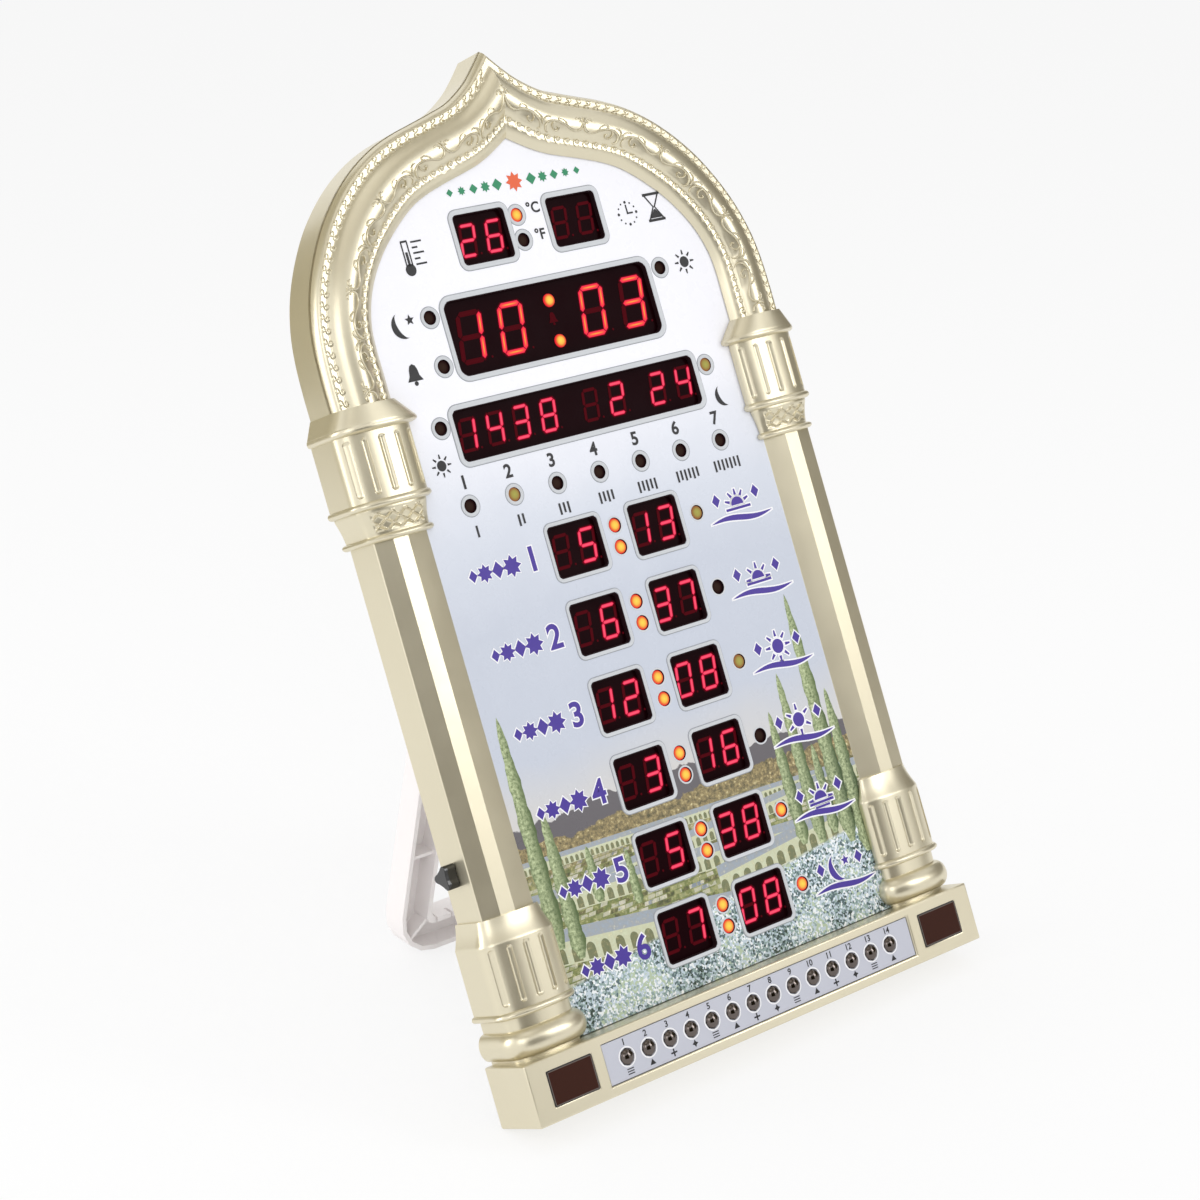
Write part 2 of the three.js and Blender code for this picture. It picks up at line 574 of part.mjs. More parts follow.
// Every display with its window: place of its centre, half-width, half-height and corner
const displays = [];
function addWindow(name, x0, x1, z0, z1, corner) {
  const halfWidth = (x1 - x0) / 2;
  const halfHeight = (z1 - z0) / 2;
  displays.push({ name, x: x0 + halfWidth, z: z0 + halfHeight, halfWidth, halfHeight, corner });
}
for (const [name, { halfWidth, bottom, top, corner }] of [['time', timeWindow], ['date', dateWindow]]) {
  addWindow(`${name}_display`, -halfWidth, halfWidth, bottom, top, corner);
}
const { inner, outer, bottom, top, corner } = smallWindow;
addWindow('temperature_display', -outer, -inner, bottom, top, corner);
addWindow('countdown_display', inner, outer, bottom, top, corner);
for (let i = 0; i < rows.count; i++) {
  const z0 = rowZ(i) - rowWindow.height / 2;
  const z1 = rowZ(i) + rowWindow.height / 2;
  addWindow(`hour_display_${i + 1}`, -rowWindow.outer, -rowWindow.inner, z0, z1, rowWindow.corner);
  addWindow(`minute_display_${i + 1}`, rowWindow.inner, rowWindow.outer, z0, z1, rowWindow.corner);
}

const lampPlaces = [...modeLamps];
for (let i = 0; i < weekdays.count; i++) {
  lampPlaces.push({ x: (i - (weekdays.count - 1) / 2) * weekdays.pitch, z: weekdays.z });
}
for (let i = 0; i < rows.count; i++) {
  lampPlaces.push({ x: 0, z: rowZ(i) + colon.spread });
  lampPlaces.push({ x: 0, z: rowZ(i) - colon.spread });
  lampPlaces.push({ x: rowLamp.x, z: rowZ(i) + rowLamp.lift });
}

const posts = both.flatMap((side) => [post.lowZ, post.highZ].map((z) => ({ x: side * post.x, z })));

function frontPanel() {
  const outline = archedOutline(
    [[arch.opening + panel.margin, base.height + seat]],
    ({ inner, across }) => inner.clone().addScaledVector(across, -panel.margin),
  );
  const pillars = posts.map(({ x, z }) =>
    pegY(post.radius, panel.thickness / 2, board.front - seat, x, z, post.sides),
  );
  return cut(join([plate(outline, 0, panel.thickness), ...pillars]), [
    ...displays.map(({ x, z, halfWidth, halfHeight, corner }) =>
      plate(
        rectangle(x - halfWidth, x + halfWidth, z - halfHeight, z + halfHeight, corner, 1),
        -overrun,
        panel.thickness + overrun,
      ),
    ),
    ...lampPlaces.map(({ x, z }) => pegY(lamp.hole, -overrun, panel.thickness + overrun, x, z, lamp.holeSides)),
    ...posts.map(({ x, z }) => pegY(post.bore, panel.thickness + overrun, board.front, x, z, post.sides)),
  ]);
}

// The stepped outline shared by the dark sheet and the board: wide below the shoulder, narrow above
const stepped = ({ halfWidth, topHalfWidth, bottom, shoulder, top }) =>
  rounded([
    [-halfWidth, bottom],
    [halfWidth, bottom],
    [halfWidth, shoulder],
    [topHalfWidth, shoulder],
    [topHalfWidth, top],
    [-topHalfWidth, top],
    [-topHalfWidth, shoulder],
    [-halfWidth, shoulder],
  ]);

// A display module about its own centre
function displayModule({ halfWidth, halfHeight }) {
  const x = halfWidth + module7.margin;
  const z = halfHeight + module7.margin;
  return block([-x, module7.front, -z], [x, module7.rear, z]);
}

function mainBoard() {
  const sunk = board.thickness / 2;
  const lampHeight = board.front - module7.front;
  const lampProfile = [
    [0, module7.front],
    ...lamp.domeShares.map(([across, down]) => [across * lamp.radius, module7.front + down * lampHeight]),
    [lamp.radius, board.front + sunk],
    [0, board.front + sunk],
  ];
  const chip = (x, z, width, height) =>
    block(
      [x - width / 2, board.rear - sunk, z - height / 2],
      [x + width / 2, board.rear + processor.thickness, z + height / 2],
    );
  const chips = [
    chip(processor.x, processor.z, processor.width, processor.height),
    ...drivers.z.map((z) => chip(drivers.x, z, drivers.width, drivers.height)),
    ...drivers.z.map((z) => chip(-drivers.x, z, drivers.width, drivers.height)),
  ];
  const lamps = lampPlaces.map(({ x, z }) => turnedY(lampProfile, x, z, lamp.sides));
  const sheet = cut(
    plate(stepped(board), board.front, board.rear),
    posts.map(({ x, z }) => pegY(post.bore, board.front - overrun, board.rear + overrun, x, z, post.sides)),
  );
  return join([sheet, ...chips, ...lamps]);
}

const cellRear = board.front - seat - cellHolder.floor - seat;
const coinCell = () => pegY(cell.radius, cellRear - cell.thickness, cellRear, cell.x, cell.z, cell.sides);
function cellHolderBody() {
  const rear = board.front - seat;
  const outer = cell.radius + seat + cellHolder.rim;
  const cup = pegY(outer, rear - cellHolder.floor - cellHolder.height, rear, cell.x, cell.z, cell.sides);
  return cut(cup, [
    pegY(cell.radius + seat, cellRear - cell.thickness, rear - cellHolder.floor, cell.x, cell.z, cell.sides),
    block(
      [cell.x - cellHolder.notch / 2, cellRear - cell.thickness, cell.z],
      [cell.x + cellHolder.notch / 2, rear - cellHolder.floor, cell.z + outer + overrun],
    ),
  ]);
}

// A tray-like insert: a skin in the base's front opening and a flange behind the wall
function insert({ x, halfWidth, bottom, top, front, skin, flange }) {
  const tray = (grow, y0, y1) =>
    block([x - halfWidth - grow, y0, bottom - grow], [x + halfWidth + grow, y1, top + grow]);
  const solidTray = join([tray(0, front, flangeRear), tray(flange, flangeFront, flangeRear)]);
  return cut(solidTray, [tray(-skin, front + skin, flangeRear + overrun)]);
}

function keyStrip() {
  const tray = insert({ ...strip, x: 0, skin: strip.thickness });
  const footStart = strip.rear - strip.thickness / 2;
  const feet = both.map((side) =>
    pegY(stripPost.radius, footStart, keyBoard.front - seat, side * stripPost.x, keys.z, stripPost.sides),
  );
  const holes = Array.from({ length: keys.count }, (_, i) =>
    pegY(keys.hole, strip.front - overrun, strip.rear + overrun, keyX(i), keys.z, keys.sides),
  );
  return cut(join([tray, ...feet]), holes);
}

// A key about its own axis: a domed cap, a collar that keeps it behind the strip and a stem
function key() {
  const collarFront = strip.rear + seat;
  const top = strip.front - keys.proud;
  const profile = [
    [0, top],
    ...keys.topShares.map(([across, down]) => [across * keys.radius, top + down * keys.proud]),
    [keys.radius, strip.front],
    [keys.radius, collarFront],
    [keys.collar, collarFront],
    [keys.collar, collarFront + keys.collarDepth],
    [keys.stem, collarFront + keys.collarDepth],
    [keys.stem, keys.stemEnd],
    [0, keys.stemEnd],
  ];
  return turnedY(profile, 0, 0, keys.sides);
}

function keyBoardBody() {
  const sunk = keyBoard.thickness / 2;
  const middleZ = (keyBoard.bottom + keyBoard.top) / 2;
  const sheet = plate(
    rectangle(-keyBoard.halfWidth, keyBoard.halfWidth, keyBoard.bottom, keyBoard.top),
    keyBoard.front,
    keyBoard.rear,
  );
  const switches = Array.from({ length: keys.count }, (_, i) => {
    const half = keySwitch.width / 2;
    const housing = block(
      [keyX(i) - half, keyBoard.front - keySwitch.body, keys.z - half],
      [keyX(i) + half, keyBoard.front + sunk, keys.z + half],
    );
    const plunger = pegY(keySwitch.plunger, keySwitch.tip, keyBoard.front, keyX(i), keys.z, keys.sides);
    return join([housing, plunger]);
  });
  const receivers = both.map((side) => {
    const x = side * irWindow.x;
    const housing = block(
      [x - irReceiver.halfWidth, keyBoard.front - irReceiver.depth, middleZ - irReceiver.height / 2],
      [x + irReceiver.halfWidth, keyBoard.front + sunk, middleZ + irReceiver.height / 2],
    );
    const dome = new THREE.SphereGeometry(irReceiver.dome, 8, 6);
    return join([housing, solid(dome.translate(x, keyBoard.front - irReceiver.depth, middleZ))]);
  });
  return join([sheet, ...switches, ...receivers]);
}

// A flat cable from the main board down into the base and forward to the key board
function ribbonCable() {
  const x0 = cable.x - cable.width / 2;
  const x1 = cable.x + cable.width / 2;
  const rear = board.front - seat;
  const front = keyBoard.rear + seat;
  return join([
    block([x0, rear - cable.thickness, cable.lowZ], [x1, rear, board.bottom + cable.lap]),
    block([x0, front, cable.lowZ], [x1, rear, cable.lowZ + cable.thickness]),
    block([x0, front, cable.lowZ], [x1, front + cable.thickness, cable.lowZ + cable.lap]),
  ]);
}

const irWindowBody = (side) =>
  insert({ ...irWindow, x: side * irWindow.x, front: -base.front - irWindow.proud });

// The speaker, from its magnet in front to its rim against the cover
const rimRear = soundBox.rear - wall - seat;
const rimFront = rimRear - speaker.rim;
const basketFront = rimFront - speaker.basketDepth;
const speakerFrame = () =>
  turnedY(
    [
      [speaker.bore, basketFront],
      [speaker.throat, basketFront],
      [speaker.basket, rimFront],
      [speaker.radius, rimFront],
      [speaker.radius, rimRear],
      [speaker.basket - speaker.skin, rimRear],
      [speaker.throat - speaker.rim, basketFront + speaker.skin],
      [speaker.bore, basketFront + speaker.skin],
      [speaker.bore, basketFront],
    ],
    0,
    speaker.z,
    speaker.sides,
  );
function speakerCone() {
  const front = basketFront + speaker.skin + seat;
  const rim = speaker.basket - speaker.skin - 2 * seat;
  const bowl = front + cone.lift;
  return turnedY(
    [
      [0, front],
      [speaker.throat - speaker.rim - 2 * seat, front],
      [rim, rimRear],
      [rim - cone.surround, rimRear],
      [cone.bowl, bowl],
      [cone.cap, bowl],
      ...cone.capShares.map(([across, up]) => [across * cone.cap, bowl + up * cone.capHeight]),
    ],
    0,
    speaker.z,
    speaker.sides,
  );
}
const magnetRear = basketFront - seat;
const speakerMagnet = () =>
  pegY(speaker.magnet, magnetRear - speaker.magnetDepth, magnetRear, 0, speaker.z, speaker.sides);

// The volume knob's lobed outline run along x, bored from its inner end
function volumeKnob() {
  const outline = Array.from({ length: knob.steps }, (_, i) => {
    const angle = (i / knob.steps) * 2 * Math.PI;
    const lobe = ((1 + Math.cos(knob.wings * angle)) / 2) ** 2;
    const radius = knob.hub + lobe * (knob.wing - knob.hub);
    return new THREE.Vector2(radius * Math.sin(angle), radius * Math.cos(angle));
  });
  const root = -shaft.outer - seat;
  const run = new THREE.ExtrudeGeometry(new THREE.Shape(outline), { depth: knob.length, bevelEnabled: false });
  run.rotateY(-Math.PI / 2).translate(root, volume.y, volume.z);
  return cut(solid(run), [volumePeg(volume.shaft + seat, root - knob.length + knob.end, root + overrun)]);
}

function volumePot() {
  const root = -caseInner + seat;
  const body = block(
    [root, volume.y - volume.body, volume.z - volume.body],
    [root + volume.bodyDepth, volume.y + volume.body, volume.z + volume.body],
  );
  return join([body, volumePeg(volume.shaft, -shaft.outer - volume.shaftReach, root + overrun)]);
}

function dcJack() {
  const rear = cover.inner - seat;
  const front = rear - jack.depth;
  const housing = block(
    [jack.x - jack.halfWidth, front, jack.z - jack.halfWidth],
    [jack.x + jack.halfWidth, rear, jack.z + jack.halfWidth],
  );
  const barrel = pegY(jack.barrel, rear - overrun, base.rear - seat, jack.x, jack.z, jack.sides);
  const bottom = base.rear - seat - jack.boreDepth;
  const bore = pegY(jack.bore, bottom, base.rear + overrun, jack.x, jack.z, jack.sides);
  const pin = pegY(jack.pin, bottom - overrun / 2, cover.inner, jack.x, jack.z, jack.sides);
  return join([cut(join([housing, barrel]), [bore]), pin]);
}

// The easel stand about its hinge, hanging straight down: a tapering loop of channel section
function standLeg() {
  const foot = -stand.length;
  const half = (z) => stand.footHalf - stand.taper * (z - foot);
  const tapered = (z0, z1, inset, lowCorner, topCorner) =>
    rounded(
      [
        [-half(z0) + inset, z0, lowCorner],
        [half(z0) - inset, z0, lowCorner],
        [half(z1) - inset, z1, topCorner],
        [-half(z1) + inset, z1, topCorner],
      ],
      4,
    );
  const loopBottom = foot + stand.bar;
  const loopTop = -halfDepth - stand.topBar;
  const blank = plate(tapered(foot, stand.heel, 0, stand.footCorner, stand.topCorner), -halfDepth, halfDepth);
  const front = -halfDepth - overrun;
  const loop = (grow, y0, y1) => {
    const round = stand.loopCorner;
    return plate(tapered(loopBottom - grow, loopTop + grow, stand.limb - grow, round, round), y0, y1);
  };
  const innerCorner = stand.footCorner - stand.rim;
  const channelTop = -halfDepth - stand.rim;
  const channel = plate(
    tapered(foot + stand.rim, channelTop, stand.rim, innerCorner, stand.topCorner),
    front,
    halfDepth - stand.web,
  );
  const crossRibs = stand.ribHeights.map((height) =>
    block(
      [-stand.footHalf, -halfDepth + stand.rim, foot + height - stand.rib / 2],
      [stand.footHalf, halfDepth, foot + height + stand.rib / 2],
    ),
  );
  const mitreRibs = both.map((side) =>
    plate(
      stripBetween(
        new THREE.Vector2(side * (half(loopBottom) - stand.limb), loopBottom),
        new THREE.Vector2(side * half(foot), foot),
        stand.rib,
      ),
      -halfDepth + stand.rim,
      halfDepth,
    ),
  );
  const pocket = cut(channel, [loop(stand.rim, front - overrun, halfDepth), ...crossRibs, ...mitreRibs]);
  const notches = both.flatMap((side) =>
    stand.notchX.map((x) =>
      block(
        [side * x - stand.notch / 2, front, loopBottom - stand.rim - overrun],
        [side * x + stand.notch / 2, -halfDepth + stand.notchDepth, loopBottom + overrun],
      ),
    ),
  );
  const barrel = pegX(halfDepth, -hinge.barrelHalf, hinge.barrelHalf, 0, 0, hinge.sides);
  return cut(join([blank, barrel]), [
    loop(0, front, halfDepth + overrun),
    pocket,
    ...notches,
    pegX(hinge.bore, -hinge.barrelHalf - overrun, hinge.barrelHalf + overrun, 0, 0, hinge.sides),
  ]);
}

function hingePin() {
  const shankEnd = hinge.earOuter + seat;
  const end = shankEnd + hinge.headLength;
  const profile = [
    [0, -end], [hinge.head, -end], [hinge.head, -shankEnd], [hinge.pin, -shankEnd],
    [hinge.pin, shankEnd], [hinge.head, shankEnd], [hinge.head, end], [0, end],
  ];
  return turnedX(profile, stand.hingeY, stand.hingeZ, hinge.sides);
}

// A screw about its own axis, its head's seat at the given depth
function screwBody(headFront, { head, headHeight, length }) {
  const profile = [
    [0, headFront - length],
    [screw.shank, headFront - length],
    [screw.shank, headFront],
    [head, headFront],
    [head, headFront + headHeight],
    [0, headFront + headHeight],
  ];
  return turnedY(profile, 0, 0, screw.sides);
}

const material = (color, roughness, metalness) =>
  new THREE.MeshStandardMaterial({ color, roughness, metalness });
const finishes = {
  gold: material(0xd9cdaa, 0.35, 0.7),
  whitePlastic: material(0xf0efeb, 0.5, 0),
  print: material(0xeeeef6, 0.4, 0),
  smoked: material(0x240609, 0.2, 0),
  display: material(0x2b0a0d, 0.4, 0),
  circuit: material(0x1f5a35, 0.6, 0),
  steel: material(0xb9bbbd, 0.35, 0.9),
  black: material(0x151516, 0.45, 0),
  silver: material(0xc5c8ce, 0.45, 0.4),
  chrome: material(0xdadde0, 0.12, 1),
  ribbon: material(0xa9acb0, 0.6, 0),
  smokedBrown: material(0x3e241c, 0.15, 0),
  paperCone: material(0x2a2a2b, 0.9, 0),
  magnet: material(0x4a4a4c, 0.6, 0.6),
  glossBlack: material(0x0b0b0c, 0.2, 0),
};

const clock = new THREE.Group();
function place(name, geometry, finish, parent = clock, x = 0, z = 0) {
  const mesh = new THREE.Mesh(geometry, finish);
  mesh.name = name;
  mesh.position.set(x, 0, z);
  parent.add(mesh);
}
const one = (name, body, finish) => place(name, geometryOf(body), finish);

one('front_bezel', frontBezel(), finishes.gold);
one('rear_cover', rearCover(), finishes.whitePlastic);
one('front_panel', frontPanel(), finishes.print);
one('display_filter', plate(stepped(filter), filter.front, filter.rear), finishes.smoked);
for (const display of displays) {
  place(display.name, geometryOf(displayModule(display)), finishes.display, clock, display.x, display.z);
}
one('main_board', mainBoard(), finishes.circuit);
one('coin_cell', coinCell(), finishes.steel);
one('cell_holder', cellHolderBody(), finishes.black);
one('key_strip', keyStrip(), finishes.silver);
const keyGeometry = geometryOf(key());
for (let i = 0; i < keys.count; i++) {
  const number = String(i + 1).padStart(2, '0');
  place(`key_${number}`, keyGeometry, finishes.chrome, clock, keyX(i), keys.z);
}
one('key_board', keyBoardBody(), finishes.circuit);
one('ribbon_cable', ribbonCable(), finishes.ribbon);
one('ir_window_left', irWindowBody(-1), finishes.smokedBrown);
one('ir_window_right', irWindowBody(1), finishes.smokedBrown);
one('speaker_frame', speakerFrame(), finishes.black);
one('speaker_cone', speakerCone(), finishes.paperCone);
one('speaker_magnet', speakerMagnet(), finishes.magnet);
one('volume_knob', volumeKnob(), finishes.glossBlack);
one('volume_pot', volumePot(), finishes.steel);
one('dc_jack', dcJack(), finishes.black);
one('hinge_pin', hingePin(), finishes.steel);
const coverScrew = geometryOf(screwBody(base.rear - boss.wellDepth + seat, screw));
screwPlaces.forEach(({ x, z }, i) => place(`cover_screw_${i + 1}`, coverScrew, finishes.steel, clock, x, z));
const boardScrewGeometry = geometryOf(screwBody(board.rear + seat, boardScrew));
posts.forEach(({ x, z }, i) => place(`board_screw_${i + 1}`, boardScrewGeometry, finishes.steel, clock, x, z));

// The stand turns about its hinge, here open against its stop
const easel = new THREE.Group();
easel.position.set(0, stand.hingeY, stand.hingeZ);
easel.rotation.x = standAngle;
place('stand_leg', geometryOf(standLeg()), finishes.whitePlastic, easel);
clock.add(easel);

// The clock leans back and stands on the ground, centred over the origin
clock.rotation.x = -lean;
const standing = new THREE.Group();
standing.add(clock);
const extent = new THREE.Box3().setFromObject(standing, true);
clock.position.set(0, -(extent.min.y + extent.max.y) / 2, -extent.min.z);

export default standing;
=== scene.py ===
import json
from bisect import bisect_right
from math import atan2, cos, hypot, pi, radians, sin, sqrt, tan

import bmesh
import bpy
from mathutils import Matrix, Vector


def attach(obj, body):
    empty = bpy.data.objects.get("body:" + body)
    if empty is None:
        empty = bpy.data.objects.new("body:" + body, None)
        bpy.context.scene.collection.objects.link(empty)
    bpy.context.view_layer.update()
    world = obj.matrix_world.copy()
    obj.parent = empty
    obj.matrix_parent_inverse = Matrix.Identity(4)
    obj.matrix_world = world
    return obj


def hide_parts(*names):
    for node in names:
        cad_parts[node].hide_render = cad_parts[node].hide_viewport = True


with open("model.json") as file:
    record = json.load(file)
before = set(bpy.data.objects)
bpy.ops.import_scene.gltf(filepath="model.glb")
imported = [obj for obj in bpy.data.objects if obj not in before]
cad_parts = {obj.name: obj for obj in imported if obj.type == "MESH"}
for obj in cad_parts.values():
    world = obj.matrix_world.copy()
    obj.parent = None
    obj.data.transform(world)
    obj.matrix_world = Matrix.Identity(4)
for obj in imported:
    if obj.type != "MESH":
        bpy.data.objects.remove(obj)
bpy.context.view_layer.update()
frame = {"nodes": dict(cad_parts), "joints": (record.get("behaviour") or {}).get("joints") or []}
scene = bpy.context.scene
nodes = frame["nodes"]

# The clock's own frame, in millimetres: x to the right, y to the rear from the panel's face,
# z up the face from the foot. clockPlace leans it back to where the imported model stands.
rearward = Vector(next(j for j in frame["joints"] if j["name"] == "key_01_press")["axis"])
lean = atan2(-rearward.z, rearward.y)
upward = Vector((0, sin(lean), cos(lean)))
panelDepth = min(v.co.dot(rearward) for v in nodes["front_panel"].data.vertices)
footHeight = min(v.co.dot(upward) for v in nodes["front_bezel"].data.vertices)
clockOrigin = rearward * panelDepth + upward * footHeight
clockPlace = Matrix.Translation(clockOrigin) @ Matrix.Rotation(-lean, 4, "X") @ Matrix.Scale(0.001, 4)
sides = (-1, 1)


def paint(red, green, blue):  # a screen colour as Blender's own linear one
    def linear(value):
        value /= 255
        return value / 12.92 if value <= 0.04045 else ((value + 0.055) / 1.055) ** 2.4

    return (linear(red), linear(green), linear(blue), 1)


def fill(tree, socket, value):  # links an output, and sets any other value
    value = getattr(value, "socket", value)
    if isinstance(value, bpy.types.NodeSocket):
        tree.links.new(value, socket)
    else:
        socket.default_value = value


def make(tree, kind, inputs, output=0, **settings):  # a new node with its inputs filled, as one of its outputs
    node = tree.nodes.new("ShaderNode" + kind)
    for name, value in settings.items():
        setattr(node, name, value)
    for name, value in inputs.items():
        fill(tree, node.inputs[name], value)
    return Output(tree, node.outputs[output])


class Output:  # an output of a shader node; sums with it make math nodes
    def __init__(self, tree, socket):
        self.tree, self.socket = tree, socket

    def other(self, name):
        return Output(self.tree, self.socket.node.outputs[name])

    def math(self, operation, *values, clamp=False):
        inputs = dict(enumerate((self, *values)))
        return make(self.tree, "Math", inputs, operation=operation, use_clamp=clamp)

    def __add__(self, value):
        return self.math("ADD", value)

    def __sub__(self, value):
        return self.math("SUBTRACT", value)

    def __rsub__(self, value):
        return self.math("MULTIPLY_ADD", -1.0, value)

    def __mul__(self, value):
        return self.math("MULTIPLY", value)

    def __truediv__(self, value):
        return self.math("DIVIDE", value)


def mix(tree, share, first, second):
    return make(tree, "Mix", {0: share, 6: first, 7: second}, 2, data_type="RGBA")


def noise(vector, scale, detail=3.0, roughness=0.5):
    inputs = {"Scale": scale, "Detail": detail, "Roughness": roughness, "Vector": vector}
    return make(vector.tree, "TexNoise", inputs, "Fac")


def glowOf(tree):  # the brightness written in a mesh's points
    return make(tree, "Attribute", {}, "Fac", attribute_name="glow")


def ownPlace(tree):  # Object coordinates as the clock's own millimetres
    inputs = {
        "Scale": (1000, 1000, 1000), "Rotation": (lean, 0, 0),
        "Location": Matrix.Rotation(lean, 3, "X") @ clockOrigin * -1000,
        "Vector": make(tree, "TexCoord", {}, "Object"),
    }
    return make(tree, "Mapping", inputs)


def newGroup(name, inputs, outputs):
    group = bpy.data.node_groups.new(name, "ShaderNodeTree")
    for way, sockets in (("INPUT", inputs), ("OUTPUT", outputs)):
        for socket, kind in sockets.items():
            group.interface.new_socket(socket, in_out=way, socket_type="NodeSocket" + kind)
    given = group.nodes.new("NodeGroupInput").outputs
    result = group.nodes.new("NodeGroupOutput").inputs
    return group, {socket.name: Output(group, socket) for socket in given}, result


# Scales of the noise per millimetre, the level from which each shows, and the strength of the relief
surface = {"slow": 0.02, "slowFrom": 0.3, "smear": 0.07, "smearFrom": 0.5, "bump": 0.5}


# Moulded or sprayed surface: a fine grain, slow shade changes and faint handling smudges
def makeSurfaceGroup():
    numbers = dict.fromkeys(("Grain Scale", "Mottle", "Smudge", "Roughness"), "Float")
    group, given, result = newGroup(
        "surfaceGrain", {**numbers, "Base": "Color", "Dirt": "Color"},
        {"Color": "Color", "Roughness": "Float", "Height": "Float"},
    )
    spot = ownPlace(group)
    grained = make(group, "VectorMath", {0: spot, "Scale": given["Grain Scale"]}, operation="SCALE")
    patches = noise(spot, surface["slow"]) - surface["slowFrom"]
    mottle = patches.math("MULTIPLY", given["Mottle"], clamp=True)
    smudge = (noise(spot, surface["smear"], 4.0, 0.65) - surface["smearFrom"]) * given["Smudge"]
    fill(group, result["Color"], mix(group, mottle, given["Base"], given["Dirt"]))
    fill(group, result["Roughness"], given["Roughness"] + smudge)
    fill(group, result["Height"], noise(grained, 1.0, 2.0))
    return group


surfaceGrain = makeSurfaceGroup()


def newMaterial(name="finish"):
    material = bpy.data.materials.new(name)
    material.use_nodes = True
    return material, material.node_tree


def dress(material, inputs):  # fills inputs of the material's shader
    tree = material.node_tree
    for name, value in inputs.items():
        fill(tree, tree.nodes["Principled BSDF"].inputs[name], value)


def baseColour(material):
    socket = material.node_tree.nodes["Principled BSDF"].inputs["Base Color"]
    return Output(material.node_tree, socket.links[0].from_socket)


def finishOf(
    base, dirt, roughness, metallic=0.0, grain=0.5, depth=0.02, mottle=0.5, smudge=0.2, coat=0.0, gloss=0.5
):
    material, tree = newMaterial()
    inputs = {
        "Grain Scale": 1 / grain, "Mottle": mottle, "Smudge": smudge, "Roughness": roughness,
        "Base": paint(*base), "Dirt": paint(*dirt),
    }
    colour = make(tree, "Group", inputs, "Color", node_tree=surfaceGrain)
    relief = {"Strength": surface["bump"], "Distance": depth * 0.001, "Height": colour.other("Height")}
    dress(material, {
        "Base Color": colour, "Roughness": colour.other("Roughness"), "Metallic": metallic,
        "Coat Weight": coat, "Specular IOR Level": gloss, "Normal": make(tree, "Bump", relief),
    })
    return material


# The glow of a mesh's points goes from the rim's colour to the core's, a little unevenly
def glowing(rimColour, coreColour, strength=1.0):
    material, tree = newMaterial()
    glow = glowOf(tree)
    uneven = (noise(ownPlace(tree), 0.9, 2.0) - 0.5) * 0.2
    colour = mix(tree, glow.math("ADD", uneven * glow, clamp=True), paint(*rimColour), paint(*coreColour))
    dress(material, {
        "Emission Color": colour, "Emission Strength": strength, "Roughness": 0.4, "Specular IOR Level": 0.02,
        "Base Color": mix(tree, 0.97, colour, (0, 0, 0, 1)),
    })
    return material


smooth, printed = {"grain": 3.0, "depth": 0.003}, {"grain": 1.0, "depth": 0.002}
# Colour, colour of the darker patches, roughness, and what differs from plain plastic
looks = {
    "goldPaint": finishOf((226, 218, 193), (214, 204, 175), 0.31, metallic=0.8, grain=0.4, depth=0.003, smudge=0.1),
    "whitePlastic": finishOf((240, 239, 236), (226, 224, 220), 0.42, grain=0.6),
    "standPlastic": finishOf((249, 244, 243), (241, 234, 233), 0.4, grain=0.6),
    "darkRedSheet": finishOf((26, 3, 7), (18, 2, 5), 0.3, gloss=0.02, **smooth),
    "displayBlack": finishOf((30, 10, 12), (18, 8, 9), 0.45),
    "circuitGreen": finishOf((28, 86, 52), (20, 66, 40), 0.5, grain=1.2, depth=0.03),
    "brightSteel": finishOf((186, 188, 191), (158, 160, 164), 0.3, metallic=0.95, grain=0.4),
    "blackPlastic": finishOf((24, 24, 26), (34, 33, 34), 0.48),
    "silverSheet": finishOf((200, 202, 213), (190, 192, 204), 0.4, metallic=0.1, grain=1.0, depth=0.006),
    "chromePlate": finishOf((108, 100, 96), (88, 80, 76), 0.07, metallic=1.0, grain=0.8, depth=0.003),
    "greyRibbon": finishOf((172, 174, 178), (152, 154, 160), 0.55),
    "brownWindow": finishOf((60, 29, 19), (44, 22, 15), 0.1, gloss=0.12, **smooth),
    "paperCone": finishOf((44, 43, 44), (30, 30, 31), 0.85, grain=0.8, depth=0.08),
    "magnetGrey": finishOf((78, 78, 82), (60, 60, 64), 0.55, metallic=0.6),
    "glossBlack": finishOf((14, 14, 15), (22, 22, 24), 0.14, grain=2.0, depth=0.003, coat=0.5),
    "rimSilver": finishOf((210, 213, 217), (200, 203, 208), 0.4, grain=0.8, depth=0.004),
    "rimLine": finishOf((158, 162, 168), (146, 150, 156), 0.45, grain=0.8, depth=0.004),
    "windowWall": finishOf((40, 22, 26), (30, 16, 20), 0.6, grain=0.8, gloss=0.1),
    "inkBlack": finishOf((26, 26, 30), (40, 40, 46), 0.45, **printed),
    "inkPurple": finishOf((66, 42, 152), (82, 58, 166), 0.45, **printed),
    "inkWhite": finishOf((250, 250, 252), (240, 240, 246), 0.45, **printed),
    "inkGreen": finishOf((34, 140, 96), (52, 152, 108), 0.45, **printed),
    "inkOrange": finishOf((236, 100, 52), (226, 84, 44), 0.45, **printed),
    "treeGreen": finishOf((62, 84, 46), (92, 112, 62), 0.5, grain=1.4, depth=0.004, mottle=3.2),
    "segmentOrange": glowing((252, 38, 78), (255, 184, 70)),
    "segmentRed": glowing((238, 30, 74), (255, 92, 120)),
    # unlit segments: a painted faint dark red glow, since they give no light of their own
    "segmentOff": glowing((74, 6, 16), (80, 8, 18)),
    "segmentHalo": glowing((33, 4, 9), (112, 8, 26)),
    "lampOn": glowing((234, 40, 52), (255, 222, 92)),
    "lampDim": glowing((158, 100, 66), (184, 182, 96), 0.85),
    # lamps that are off: a painted faint glow, lighter in the middle, since they give no light of their own
    "lampOff": glowing((46, 20, 24), (74, 54, 44), 0.5),
}
